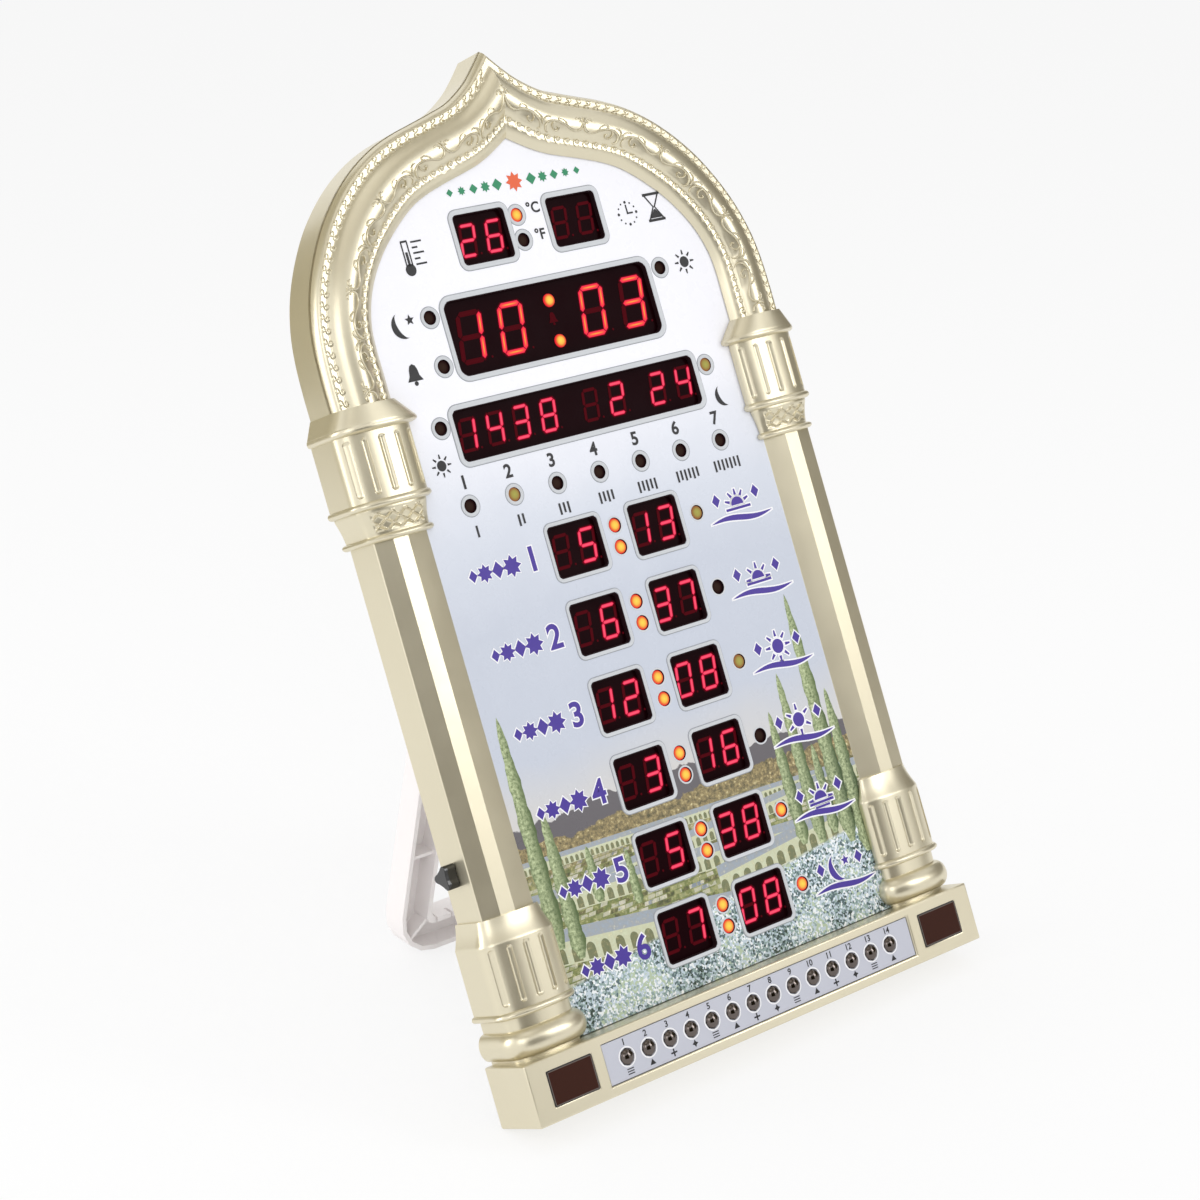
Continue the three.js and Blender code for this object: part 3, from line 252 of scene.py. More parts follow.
foliage = {"light": (204, 216, 168), "scale": 0.8, "contrast": 3.4, "from": -1.0}


def addFoliage(material):  # sunlit leaf clumps over a printed tree, more of them on its bright side
    tree = material.node_tree
    clumps = noise(ownPlace(tree), foliage["scale"], 3.0, 0.6) * foliage["contrast"] + foliage["from"]
    share = glowOf(tree).math("MULTIPLY", clumps, clamp=True)
    dress(material, {"Base Color": mix(tree, share, baseColour(material), paint(*foliage["light"]))})


addFoliage(looks["treeGreen"])
print("materials ready")


def addObject(name, bm, material):
    mesh = bpy.data.meshes.new(name)
    bm.to_mesh(mesh)
    bm.free()
    mesh.materials.append(material)
    thing = bpy.data.objects.new(name, mesh)
    scene.collection.objects.link(thing)
    return thing


def addPiece(name, bm, look, body="case", angle=32, replaced=None, place=clockPlace):
    bmesh.ops.transform(bm, matrix=place, verts=bm.verts)
    piece = addObject(name, bm, looks[look])
    piece.data.shade_smooth()
    piece.data.set_sharp_from_angle(angle=radians(angle))
    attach(piece, body)
    if replaced:
        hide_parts(replaced)
    return piece


def addGold(name, bm, angle=32, replaced="front_bezel"):
    return addPiece(name, bm, "goldPaint", angle=angle, replaced=replaced)


def roundEdges(piece, width, segments, sharpest):
    edges = piece.modifiers.new("edges", "BEVEL")
    edges.width = width * 0.001
    edges.segments = segments
    edges.limit_method = "ANGLE"
    edges.angle_limit = radians(sharpest)


def curvePoint(points, share):  # a smooth curve through the points, at a share of its length
    last = len(points) - 1
    index = min(int(share * last), last - 1)
    t = share * last - index
    start, end = points[index], points[index + 1]
    before = points[index - 1] if index else 2 * start - end
    after = points[index + 2] if index + 2 <= last else 2 * end - start
    leave, arrive = (end - before) / 2, (after - start) / 2
    turn = 2 * start - 2 * end + leave + arrive
    swing = -3 * start + 3 * end - 2 * leave - arrive
    return turn * t**3 + swing * t**2 + leave * t + start


def smoothStep(value):
    value = min(max(value, 0), 1)
    return value * value * (3 - 2 * value)


def mappedGrid(bm, columns, rows, pointAt):
    made = bmesh.ops.create_grid(bm, x_segments=columns, y_segments=rows, size=0.5)["verts"]
    for vert in made:
        vert.co = pointAt(round((vert.co.x + 0.5) * columns), round((vert.co.y + 0.5) * rows))
    return made


def closeShell(bm, weld=1e-4):
    bmesh.ops.remove_doubles(bm, verts=bm.verts, dist=weld)
    bmesh.ops.holes_fill(bm, edges=[edge for edge in bm.edges if edge.is_boundary], sides=0)
    bmesh.ops.recalc_face_normals(bm, faces=bm.faces)


def spun(bm, x, z, profile, steps, glows=()):  # a profile of radii and depths, turned about a line to the rear
    start = [bm.verts.new((x + radius, y, z)) for radius, y in profile]
    for vert, value in zip(start, glows):
        vert[bm.verts.layers.float["glow"]] = value
    edges = [bm.edges.new(pair) for pair in zip(start, start[1:])]
    bmesh.ops.spin(
        bm, geom=start + edges, cent=(x, 0, z), axis=(0, 1, 0), angle=2 * pi, steps=steps, use_merge=True,
        use_duplicate=False,
    )


def curveFaces(bm, data):  # adds what a curve or a text makes, and gives its points
    old = set(bm.verts)
    holder = bpy.data.objects.new("curve", data)
    bm.from_mesh(holder.to_mesh())
    holder.to_mesh_clear()
    bpy.data.objects.remove(holder)
    bpy.data.curves.remove(data)
    return [vert for vert in bm.verts if vert not in old]


def strokes(bm, paths, radius, resolution=1):
    data = bpy.data.curves.new("stroke", "CURVE")
    data.dimensions = "3D"
    data.bevel_depth = radius
    data.bevel_resolution = resolution
    data.use_fill_caps = True
    for path in paths:
        spline = data.splines.new("POLY")
        spline.points.add(len(path) - 1)
        for point, (place, size) in zip(spline.points, path):
            point.co = (*place, 1)
            point.radius = size
    curveFaces(bm, data)


# Housing: base block
base = {"halfWidth": 117.49, "height": 24.2, "front": 10.6, "rear": 16.4, "wall": 2.2, "bevel": 0.7}
strip = {"halfWidth": 81.3, "bottom": 4.3, "top": 20.2}
irWindow = {"x": 97.9, "halfWidth": 10.2, "bottom": 6.0, "top": 18.6}
coverInner, caseInner, gap, near = 14.2, 109.1, 0.3, 0.01


def opening(x, inset):  # the hole in the base's front for an insert
    reach = inset["halfWidth"] + gap
    return (x - reach, x + reach, inset["bottom"] - gap, inset["top"] + gap)


def makeBase():
    bm = bmesh.new()
    bmesh.ops.create_cube(bm, size=1)
    size = Matrix.Diagonal((2 * base["halfWidth"], base["front"] + base["rear"], base["height"], 1))
    bmesh.ops.transform(bm, matrix=size, verts=bm.verts)
    middle = Vector((0, (base["rear"] - base["front"]) / 2, base["height"] / 2))
    bmesh.ops.translate(bm, vec=middle, verts=bm.verts)
    openings = [opening(0, strip), *[opening(side * irWindow["x"], irWindow) for side in sides]]
    for axis, values in (
        (0, sorted({x for hole in openings for x in hole[:2]} | {-caseInner, caseInner})),
        (2, sorted({z for hole in openings for z in hole[2:]})),
        (1, [coverInner - gap]),
    ):
        normal = Vector([float(index == axis) for index in range(3)])
        for value in values:
            geometry = bm.verts[:] + bm.edges[:] + bm.faces[:]
            bmesh.ops.bisect_plane(bm, geom=geometry, plane_co=normal * value, plane_no=normal, dist=1e-5)

    def opened(face):
        x, y, z = face.calc_center_median()
        inFront = abs(y + base["front"]) < near and any(
            x0 < x < x1 and z0 < z < z1 for x0, x1, z0, z1 in openings
        )
        inTop = abs(z - base["height"]) < near and abs(x) < caseInner and y > coverInner - gap
        return inFront or inTop or abs(y - base["rear"]) < near

    bmesh.ops.delete(bm, geom=[face for face in bm.faces if opened(face)], context="FACES")
    bmesh.ops.dissolve_limit(bm, angle_limit=radians(1), verts=bm.verts, edges=bm.edges, delimit=set())
    bmesh.ops.recalc_face_normals(bm, faces=bm.faces)
    bmesh.ops.solidify(bm, geom=bm.faces[:], thickness=base["wall"])
    bmesh.ops.recalc_face_normals(bm, faces=bm.faces)
    roundEdges(addGold("housing_base", bm), base["bevel"], 3, 40)


makeBase()
print("base made")

# Housing: arch
arch = {
    "springZ": 276.5, "halfWidth": 112.5, "rise": 126.3, "opening": 86.1, "openingRise": 90.5,
    "stations": 210, "sectionSteps": 70, "wall": 3.4, "rear": 16.4,
}
outerShares = [
    (1, 0), (1, 0.09), (0.995, 0.185), (0.98, 0.273), (0.948, 0.366), (0.9, 0.456), (0.834, 0.548),
    (0.764, 0.62), (0.692, 0.678), (0.62, 0.723), (0.538, 0.762), (0.453, 0.79), (0.373, 0.81),
    (0.289, 0.831), (0.2, 0.857), (0.114, 0.903), (0.055, 0.949), (0, 1),
]
innerShares = [
    (1, 0), (1, 0.116), (1, 0.227), (0.99, 0.32), (0.957, 0.42), (0.904, 0.513), (0.832, 0.601),
    (0.76, 0.668), (0.681, 0.73), (0.599, 0.782), (0.517, 0.817), (0.436, 0.842), (0.358, 0.863),
    (0.282, 0.882), (0.2, 0.905), (0.123, 0.936), (0.058, 0.969), (0, 1),
]
# The band's section: share of its width from the outside, and height in front of the panel
bandSection = [
    (0, -2.0), (0.01, -0.6), (0.03, 0.9), (0.06, 2.2), (0.095, 2.75), (0.125, 2.8), (0.18, 2.8),
    (0.205, 2.95), (0.247, 4.2), (0.29, 5.13), (0.346, 6.03), (0.417, 6.72), (0.4875, 7.02), (0.558, 6.95),
    (0.629, 6.5), (0.685, 5.8), (0.728, 5.0), (0.765, 4.05), (0.8, 3.8), (0.83, 3.75), (0.86, 3.6),
    (0.92, 2.7), (0.97, 1.5), (1, 0.7),
]
archOuter = [Vector((x * arch["halfWidth"], arch["springZ"] + z * arch["rise"])) for x, z in outerShares]
archInner = [Vector((x * arch["opening"], arch["springZ"] + z * arch["openingRise"])) for x, z in innerShares]
bandPoints = [Vector(pair) for pair in bandSection]
bandLine = [curvePoint(bandPoints, i / arch["sectionSteps"]) for i in range(arch["sectionSteps"] + 1)]


def bandHeight(across):
    index = min(max(bisect_right([p.x for p in bandLine], across), 1), len(bandLine) - 1)
    low, high = bandLine[index - 1], bandLine[index]
    share = (across - low.x) / max(high.x - low.x, 1e-9)
    return low.y + min(max(share, 0), 1) * (high.y - low.y)


def bandSpot(share, across):  # a place on the face of the right half of the band
    return curvePoint(archOuter, share).lerp(curvePoint(archInner, share), across)


def bandPoint(side, share, across, lift=0.0):
    spot = bandSpot(share, across)
    return Vector((side * spot.x, -bandHeight(across) - lift, spot.y))


def lengthTable(across, steps=240):  # lengths from the tip down one side, at even shares
    spots = [bandSpot(1 - i / steps, across) for i in range(steps + 1)]
    lengths = [0.0]
    for first, second in zip(spots, spots[1:]):
        lengths.append(lengths[-1] + (second - first).length)
    return lengths


def shareAt(table, length):  # the share of the way up at a length from the tip
    index = min(max(bisect_right(table, length), 1), len(table) - 1)
    part = (length - table[index - 1]) / (table[index] - table[index - 1])
    return 1 - (index - 1 + part) / (len(table) - 1)


# Ground is sunk on the vine's inner side, from one turn to the other; the stroke thins towards its ends
vine = {
    "across": 0.64, "periods": 4, "past": 0.12, "radius": 0.5, "lift": 0.12, "runOn": 1.5, "dense": 3,
    "clearTip": 0.4, "clearFoot": 0.6, "thin": 0.55, "thicken": 2.2,
    "recess": 0.24, "floor": 0.75, "soft": 0.05, "margin": 0.005, "from": 0.12, "fromSoft": 0.1,
    "to": 0.475, "toSoft": 0.03,
}
# One S-shaped stroke from a sprig (0) to a junction (0.5): share of a period, share across the band
vineStroke = [
    (0.052, 0.515), (0.03, 0.5), (0.012, 0.53), (0.018, 0.59), (0.045, 0.635), (0.09, 0.655), (0.15, 0.64),
    (0.21, 0.6), (0.28, 0.565), (0.35, 0.555), (0.41, 0.575), (0.455, 0.625), (0.47, 0.685), (0.455, 0.73),
    (0.43, 0.735),
]
# Leaves that branch from it, each with the size of its stroke
vineLeaves = [
    (0.75, [(0.0, 0.56), (0.0, 0.5), (0.008, 0.455), (0.02, 0.43)]),
    (0.75, [(0.03, 0.5), (0.05, 0.46), (0.08, 0.45), (0.1, 0.475)]),
    (0.75, [(0.2, 0.605), (0.215, 0.55), (0.255, 0.505), (0.3, 0.505), (0.305, 0.54), (0.28, 0.545)]),
    (0.75, [(0.36, 0.56), (0.385, 0.62), (0.36, 0.68), (0.32, 0.69), (0.3, 0.65), (0.325, 0.635)]),
    (0.8, [(0.497, 0.66), (0.49, 0.6), (0.47, 0.545), (0.43, 0.515), (0.4, 0.52)]),
]
vineTable = lengthTable(vine["across"])
vinePeriod = vineTable[-1] / (vine["periods"] + vine["past"])


def vineTurn(share):  # periods from the tip, folded into half a period
    steps = (1 - share) * (len(vineTable) - 1)
    index = min(int(steps), len(vineTable) - 2)
    length = vineTable[index] + (steps - index) * (vineTable[index + 1] - vineTable[index])
    turn = length / vinePeriod
    return abs(turn - round(turn))


def vineLine(turn):  # how far across the band the stroke lies at a folded share of a period
    line = vineStroke[4:12]
    if turn <= line[0][0]:
        return line[0][1]
    for (t0, a0), (t1, a1) in zip(line, line[1:]):
        if turn <= t1:
            return a0 + (a1 - a0) * (turn - t0) / (t1 - t0)
    return line[-1][1] + (turn - line[-1][0]) * vine["runOn"]


def vineGround(share, across):  # how far the ground is sunk beside the vine
    turn = vineTurn(share)
    inside = smoothStep((across - vineLine(turn) - vine["margin"]) / vine["soft"])
    inside *= smoothStep((vine["floor"] - across) / vine["soft"])
    ends = smoothStep((turn - vine["from"]) / vine["fromSoft"]) * smoothStep((vine["to"] - turn) / vine["toSoft"])
    return vine["recess"] * inside * ends


def makeArch():
    bm = bmesh.new()
    stations = arch["stations"]
    wallSteps = [arch["rear"] * k for k in (1, 0.75, 0.5, 0.25, 0.05)]
    edge = len(wallSteps) + len(bandLine)

    def pointAt(i, j):
        side, share = (-1, i / stations) if i < stations else (1, (2 * stations - i) / stations)
        outer, inner = curvePoint(archOuter, share), curvePoint(archInner, share)
        if j < len(wallSteps):
            spot, depth = outer, wallSteps[j]
        elif j < edge:
            step = bandLine[j - len(wallSteps)]
            spot, depth = outer.lerp(inner, step.x), vineGround(share, step.x) - step.y
        else:
            behind = outer + (inner - outer).normalized() * arch["wall"]
            spot, depth = [(inner, -gap), (behind, -gap), (behind, arch["rear"]), (outer, arch["rear"])][j - edge]
        return Vector((side * spot.x, depth, spot.y))

    mappedGrid(bm, 2 * stations, edge + 3, pointAt)
    closeShell(bm)
    addGold("housing_arch", bm)


makeArch()
print("arch made")


def vinePath(points, side, centre, mirror, size):
    count = vine["dense"] * len(points)
    corners = [Vector(point) for point in points]
    path = []
    for k in range(count + 1):
        spot = curvePoint(corners, k / count)
        length = (centre + mirror * spot.x) * vinePeriod
        if vine["clearTip"] <= length <= vineTable[-1] - vine["clearFoot"]:
            fade = min(1, vine["thin"] + vine["thicken"] * min(k, count - k) / (count + 1))
            path.append((bandPoint(side, shareAt(vineTable, length), spot.y, vine["lift"]), size * fade))
        elif path:
            break
    return path


def makeVine():
    bm = bmesh.new()
    paths = [
        vinePath(points, side, turn, mirror, size)
        for side in sides for turn in range(vine["periods"] + 1) for mirror in sides
        for size, points in [(1.0, vineStroke), *vineLeaves]
    ]
    strokes(bm, [path for path in paths if len(path) > 3], vine["radius"])
    bmesh.ops.recalc_face_normals(bm, faces=bm.faces)
    addGold("arch_vine", bm, angle=60, replaced=None)


makeVine()

# Small motifs that repeat along the band: shares of the pitch, and millimetres or shares across
rope = {"across": 0.16, "pitch": 4.6, "width": 3.6, "radius": 0.36, "lift": -0.02}
ropeScroll = [
    (0.06, 0.16), (-0.08, 0.2), (-0.16, 0.34), (0.0, 0.47), (0.22, 0.42), (0.32, 0.22), (0.22, 0.02),
    (0.0, -0.04), (-0.24, -0.14), (-0.34, -0.3), (-0.2, -0.46), (0.02, -0.45), (0.14, -0.3), (0.06, -0.2),
]
pearls = {
    "across": 0.795, "pitch": 4.6, "radius": 1.15, "lift": -0.35, "inset": 0.01, "tail": 0.36, "tailLift": -0.08,
}
pearlTail = [(-0.32, -0.035), (-0.4, 0.02), (-0.22, 0.062), (0.05, 0.07), (0.26, 0.045)]


def repeated(motif):  # lengths down the band at the motif's places, and the true pitch
    table = lengthTable(motif["across"])
    count = int(table[-1] / motif["pitch"])
    return table, count, table[-1] / count


def motifPath(table, side, length, pitch, points, lift):  # points: lengths in pitches, places across
    spots = [(min(max(length + along * pitch, 0), table[-1]), across) for along, across in points]
    return [(bandPoint(side, shareAt(table, place), across, lift), 1.0) for place, across in spots]


def makeRope():
    bm = bmesh.new()
    table, count, pitch = repeated(rope)
    halfAcross = rope["width"] / (arch["halfWidth"] - arch["opening"])
    paths = []
    for side in sides:
        scroll = [(x, rope["across"] - side * z * halfAcross) for x, z in ropeScroll]
        for i in range(1, count):
            paths.append(motifPath(table, side, (i + 0.5) * pitch, pitch, scroll, rope["lift"]))
    strokes(bm, paths, rope["radius"], resolution=0)
    bmesh.ops.recalc_face_normals(bm, faces=bm.faces)
    addGold("arch_rope", bm, angle=80, replaced=None)


def makePearls():
    bm = bmesh.new()
    table, count, pitch = repeated(pearls)
    paths = []
    for side in sides:
        tail = [(side * along, pearls["across"] + across) for along, across in pearlTail]
        for i in range(count):
            length = (i + 0.5) * pitch
            place = bandPoint(side, shareAt(table, length), pearls["across"] - pearls["inset"], pearls["lift"])
            bmesh.ops.create_uvsphere(
                bm, u_segments=10, v_segments=6, radius=pearls["radius"], matrix=Matrix.Translation(place)
            )
            paths.append(motifPath(table, side, length, pitch, tail, pearls["tailLift"]))
    strokes(bm, paths, pearls["tail"], resolution=0)
    addGold("arch_pearls", bm, angle=80, replaced=None)


makeRope()
makePearls()
print("arch ornament made")

# Housing: columns
column = {
    "power": 2.5, "turn": 3.0, "around": 150, "foot": 24.0, "torus": (25.4, 36.2), "ring": (40.7, 43.6),
    "drum": (44.6, 69.2), "bell": 78.8, "astragal": (225.6, 228.2), "leaf": 237.3, "upperRing": (238.0, 241.0),
    "upperDrum": (241.6, 266.0), "lip": (266.6, 269.4), "springing": 276.5, "rear": 16.4, "overlap": 0.8,
}
# Outer edge, inner edge and rise of each moulding
neckSize, torusSize = (113.6, 83.6, 5.2), (117.3, 79.6, 9.4)
ringSize, drumSize = (117.0, 80.6, 7.4), (115.6, 81.8, 6.2)
bellSize, leafSize = (112.4, 85.0, 3.6), (114.6, 83.4, 5.4)
lipSize, springSize = (117.0, 78.2, 9.6), (112.8, 85.8, 8.1)
flute = {"halfWidth": 1.15, "depth": 0.85, "margin": 2.6, "shares": (-0.84, -0.45, -0.02, 0.42, 0.82)}
lattice = {
    "pitch": 6.2, "line": 0.75, "depth": 0.55, "bottom": 229.2, "top": 236.6, "reach": 0.8, "steepness": 0.72,
    "ground": 0.5, "fadeUp": 0.8, "fadeAcross": 0.06,
}
# Outline of a facetted shaft seen from above: place across and depth
shaftSection = [
    (111.3, 16.4), (111.3, -0.3), (110.9, -0.62), (103.75, -2.33), (103.4, -2.4), (96.6, -2.4), (96.25, -2.33),
    (86.5, -0.06), (86.3, 0.1), (86.3, 0.3), (109.1, 0.3), (109.1, 16.4), (111.3, 16.4),
]


def between(first, second, share):
    return tuple(a + (b - a) * share for a, b in zip(first, second))


def roundMoulding(ends, low, out, high, steps):  # swells from low to out and back to high
    levels = []
    for i in range(steps + 1):
        share = (1 - cos(pi * i / steps)) / 2
        swell = between(between(low, high, share), out, sin(pi * i / steps))
        levels.append((ends[0] + (ends[1] - ends[0]) * share, swell))
    return levels


def plainMoulding(ends, low, high, steps, bow=0.0):
    levels = []
    for i in range(steps + 1):
        share = i / steps
        bent = share + bow * sin(pi * share)
        levels.append((ends[0] + (ends[1] - ends[0]) * share, between(low, high, bent)))
    return levels


def columnFront(share, rise):
    power = column["power"]
    roundness = max(1 - abs(share) ** power, 0) ** (1 / power)
    if share > 0:
        return column["turn"] - (rise + column["turn"]) * roundness
    return -gap - (rise - gap) * roundness


def fluteCut(across, z, ends, half):
    cut = 0.0
    for place in flute["shares"]:
        over = max(ends[0] + flute["margin"] - z, z - ends[1] + flute["margin"], 0)
        reach = hypot((across - place) * half, over)
        if reach < flute["halfWidth"]:
            cut = max(cut, sqrt(1 - (reach / flute["halfWidth"]) ** 2) ** 0.6)
    return cut * flute["depth"]


def latticeRise(across, z, half):
    bottom, top, pitch = lattice["bottom"], lattice["top"], lattice["pitch"] / sqrt(2)
    if not bottom < z < top or abs(across) > lattice["reach"]:
        return 0.0
    nearest = pitch
    for turn in sides:
        step = (across * half * lattice["steepness"] + turn * (z - bottom)) / pitch
        nearest = min(nearest, abs(step - round(step)) * pitch)
    fade = smoothStep((z - bottom) / lattice["fadeUp"]) * smoothStep((top - z) / lattice["fadeUp"])
    fade *= smoothStep((lattice["reach"] - abs(across)) / lattice["fadeAcross"])
    line = smoothStep(1 - nearest / lattice["line"]) * (1 + lattice["ground"]) - lattice["ground"]
    return lattice["depth"] * fade * line


def columnShell(name, side, levels, decorate):
    count = column["around"]
    shares = []
    for k in range(count + 1):
        angle = pi * k / count
        shares.append((1 if angle < pi / 2 else -1) * abs(cos(angle)) ** (2 / column["power"]))

    def pointAt(i, j):
        z, (out, inn, rise) = levels[j]
        if i < 3:
            x, y = out, column["rear"] + (column["turn"] - column["rear"]) * i / 3
        elif i <= count + 3:
            share, half = shares[i - 3], (out - inn) / 2
            x = (out + inn) / 2 + share * half
            y = columnFront(share, rise) + decorate(share, z, half)
        else:
            corners = [(inn, -gap), (caseInner, -gap), (caseInner, column["rear"]), (out, column["rear"])]
            x, y = corners[i - count - 4]
        return Vector((side * x, y, z))

    bm = bmesh.new()
    mappedGrid(bm, count + 7, len(levels) - 1, pointAt)
    closeShell(bm)
    addGold(name, bm)


def makeColumn(side, name):
    foot, torus, ring, drum = (column[key] for key in ("foot", "torus", "ring", "drum"))
    pedestal = [
        (foot, neckSize), (torus[0], neckSize),
        *roundMoulding(torus, neckSize, torusSize, neckSize, 16)[1:],
        (ring[0] - 0.2, neckSize),
        *roundMoulding(ring, neckSize, ringSize, drumSize, 8),
        *plainMoulding(drum, drumSize, drumSize, 60),
        *plainMoulding((drum[1] + 0.4, column["bell"]), between(drumSize, bellSize, 0.03), bellSize, 14, 0.12),
    ]
    columnShell(
        f"{name}_pedestal", side, pedestal,
        lambda across, z, half: fluteCut(across, z, drum, half) if drum[0] < z < drum[1] else 0,
    )
    astragal, upper, lip = (column[key] for key in ("astragal", "upperDrum", "lip"))
    capital = [
        *roundMoulding(astragal, bellSize, leafSize, bellSize, 8),
        *plainMoulding((astragal[1] + 0.2, column["leaf"]), bellSize, leafSize, 34, -0.14),
        *roundMoulding(column["upperRing"], leafSize, ringSize, drumSize, 8),
        *plainMoulding(upper, drumSize, drumSize, 60),
        *roundMoulding(lip, drumSize, lipSize, between(lipSize, springSize, 0.12), 8),
        *plainMoulding(
            (lip[1] + 0.3, column["springing"]), between(lipSize, springSize, 0.15), springSize, 6
        ),
    ]
    columnShell(
        f"{name}_capital", side, capital,
        lambda across, z, half: (
            fluteCut(across, z, upper, half) if upper[0] < z < upper[1] else -latticeRise(across, z, half)
        ),
    )
    ends = (column["bell"] - column["overlap"], astragal[0] + column["overlap"])
    shaft = bmesh.new()
    mappedGrid(
        shaft, len(shaftSection) - 1, 1,
        lambda i, j: Vector((side * shaftSection[i][0], shaftSection[i][1], ends[j])),
    )
    closeShell(shaft)
    addGold(f"{name}_shaft", shaft, angle=5)


makeColumn(-1, "column_left")
makeColumn(1, "column_right")
print("columns made")


# Flat shapes for rims, marks and print
def laid(made, x, z, y, turn=0.0):  # from the plane of the create_ shapes onto the panel
    spin = Matrix.Rotation(turn, 2)
    for vert in made:
        spot = spin @ Vector((vert.co.x, vert.co.y))
        vert.co = Vector((x + spot.x, y, z + spot.y))


def backTo(bm, depth):  # gives flat shapes their thickness, towards the rear
    for face in bm.faces:
        face.normal_update()
        if face.normal.y > 0:
            face.normal_flip()
    run = bmesh.ops.extrude_face_region(bm, geom=bm.faces[:])["geom"]
    bmesh.ops.translate(bm, vec=Vector((0, depth, 0)), verts=[v for v in run if isinstance(v, bmesh.types.BMVert)])
    bmesh.ops.recalc_face_normals(bm, faces=bm.faces)


def circle(bm, radius, count):
    return bmesh.ops.create_circle(bm, cap_ends=True, segments=count, radius=radius)["verts"]


def blot(bm, points, x, z, y):  # one small flat shape from a few corners
    made = [bm.verts.new((*point, 0)) for point in points]
    bm.faces.new(made)
    laid(made, x, z, y)


def disc(bm, x, z, radius, y, count=24, up=1.0):
    made = circle(bm, radius, count)
    for vert in made:
        vert.co.y *= up
    laid(made, x, z, y)
    return made[0].link_faces[0]


def lozenge(bm, x, z, across, up, y):
    disc(bm, x, z, across / 2, y, 4, up / across)


def bar(bm, x0, x1, z0, z1, y):
    return mappedGrid(bm, 1, 1, lambda i, j: Vector((x1 if i else x0, y, z1 if j else z0)))


def crescent(bm, x, z, radius, y, turn=radians(20), grow=0.0):
    made = circle(bm, radius + grow, 32)
    for vert in made:
        if vert.co.x > 0:
            vert.co.x *= -(radius * 0.5 - grow) / (radius + grow)
    laid(made, x, z, y, turn)


def star(bm, x, z, radius, y, tips=5, waist=0.45, grow=0.0):
    made = circle(bm, 1, 2 * tips)
    for k, vert in enumerate(made):
        vert.co *= (radius if k % 2 == 0 else radius * waist) + grow
    laid(made, x, z, y)


def sun(bm, x, z, radius, y, rays=8, first=0.0, grow=0.0, spread=2 * pi):
    def corner(i, j):  # a ray narrows from its root to its tip
        across = (1 if j else -1) * ((0.05 if i else 0.1) * radius + grow)
        return Vector((radius + grow if i else 0.62 * radius - grow, across, 0))

    for k in range(rays):
        angle = first + spread * k / (rays if spread == 2 * pi else rays - 1)
        laid(mappedGrid(bm, 1, 1, corner), x, z, y, angle)


def halfDisc(bm, x, z, radius, y, grow=0.0):
    face = disc(bm, x, z, radius + grow, y, 32)
    bmesh.ops.bisect_plane(
        bm, geom=[face, *face.edges, *face.verts], plane_co=(0, 0, z - grow), plane_no=(0, 0, 1), clear_inner=True
    )


def bell(bm, x, z, radius, y):
    half = [(0.28, 0.85), (0.42, 0.5), (0.5, 0), (0.78, -0.45)]
    outline = [(0, 1), *half, *[(-a, b) for a, b in reversed(half)]]
    blot(bm, [(a * radius, b * radius) for a, b in outline], x, z, y)
    disc(bm, x, z - 0.66 * radius, 0.2 * radius, y, 12)


def swash(bm, x0, x1, z, swing, width, y, grow=0.0):  # a stroke that swells in its middle and thins to its ends
    steps = 16

    def pointAt(i, j):
        share = i / steps
        thick = width * sin(pi * share) ** 0.8 / 2 + grow
        across = x0 - grow + share * (x1 - x0 + 2 * grow)
        return Vector((across, y, z + swing * sin(2 * pi * share) + (thick if j else -thick)))

    mappedGrid(bm, steps, 1, pointAt)


def textFaces(bm, words, x, z, size, y, bold):
    data = bpy.data.curves.new("label", "FONT")
    data.body, data.size, data.offset = words, size, bold
    data.align_x = data.align_y = "CENTER"
    laid(curveFaces(bm, data), x, z, y)


def roundedFace(bm, x0, x1, z0, z1, corner, y):
    made = bar(bm, x0, x1, z0, z1, y)
    old = set(bm.faces) - {made[0].link_faces[0]}
    bmesh.ops.bevel(
        bm, geom=made, offset=corner, offset_type="OFFSET", affect="VERTICES", segments=6, profile=0.5, material=-1
    )
    return next(f for f in bm.faces if f not in old)


def steppedRing(bm, face, steps, rear):  # insets one face step by step, drops its middle and closes the back
    before = set(bm.faces)
    for width, height in steps:
        face.normal_update()
        bmesh.ops.inset_region(bm, faces=[face], thickness=width, use_even_offset=True, use_boundary=True)
        for vert in face.verts:
            vert.co.y = -height
    ring = [f for f in bm.faces if f not in before]
    bmesh.ops.delete(bm, geom=[face], context="FACES_ONLY")
    for vert in bmesh.ops.extrude_face_region(bm, geom=ring)["geom"]:
        if isinstance(vert, bmesh.types.BMVert):
            vert.co.y = rear


# Windows: left, right, bottom, top and corner radius
windows = {
    "time": (-51.5, 51.5, 278.1, 309.1, 4.0), "date": (-61.3, 61.3, 246.0, 267.5, 2.8),
    "temperature": (-35.9, -10.0, 320.0, 341.2, 2.3), "countdown": (10.0, 35.9, 320.0, 341.2, 2.3),
}
rows = {"count": 6, "top": 203.7, "pitch": 31.35, "inner": 7.4, "outer": 33.2, "height": 21.6, "corner": 2.1}
rowHeights = [rows["top"] - i * rows["pitch"] for i in range(rows["count"])]
for i, z in enumerate(rowHeights):
    low, high = z - rows["height"] / 2, z + rows["height"] / 2
    windows[f"hour{i}"] = (-rows["outer"], -rows["inner"], low, high, rows["corner"])
    windows[f"minute{i}"] = (rows["inner"], rows["outer"], low, high, rows["corner"])
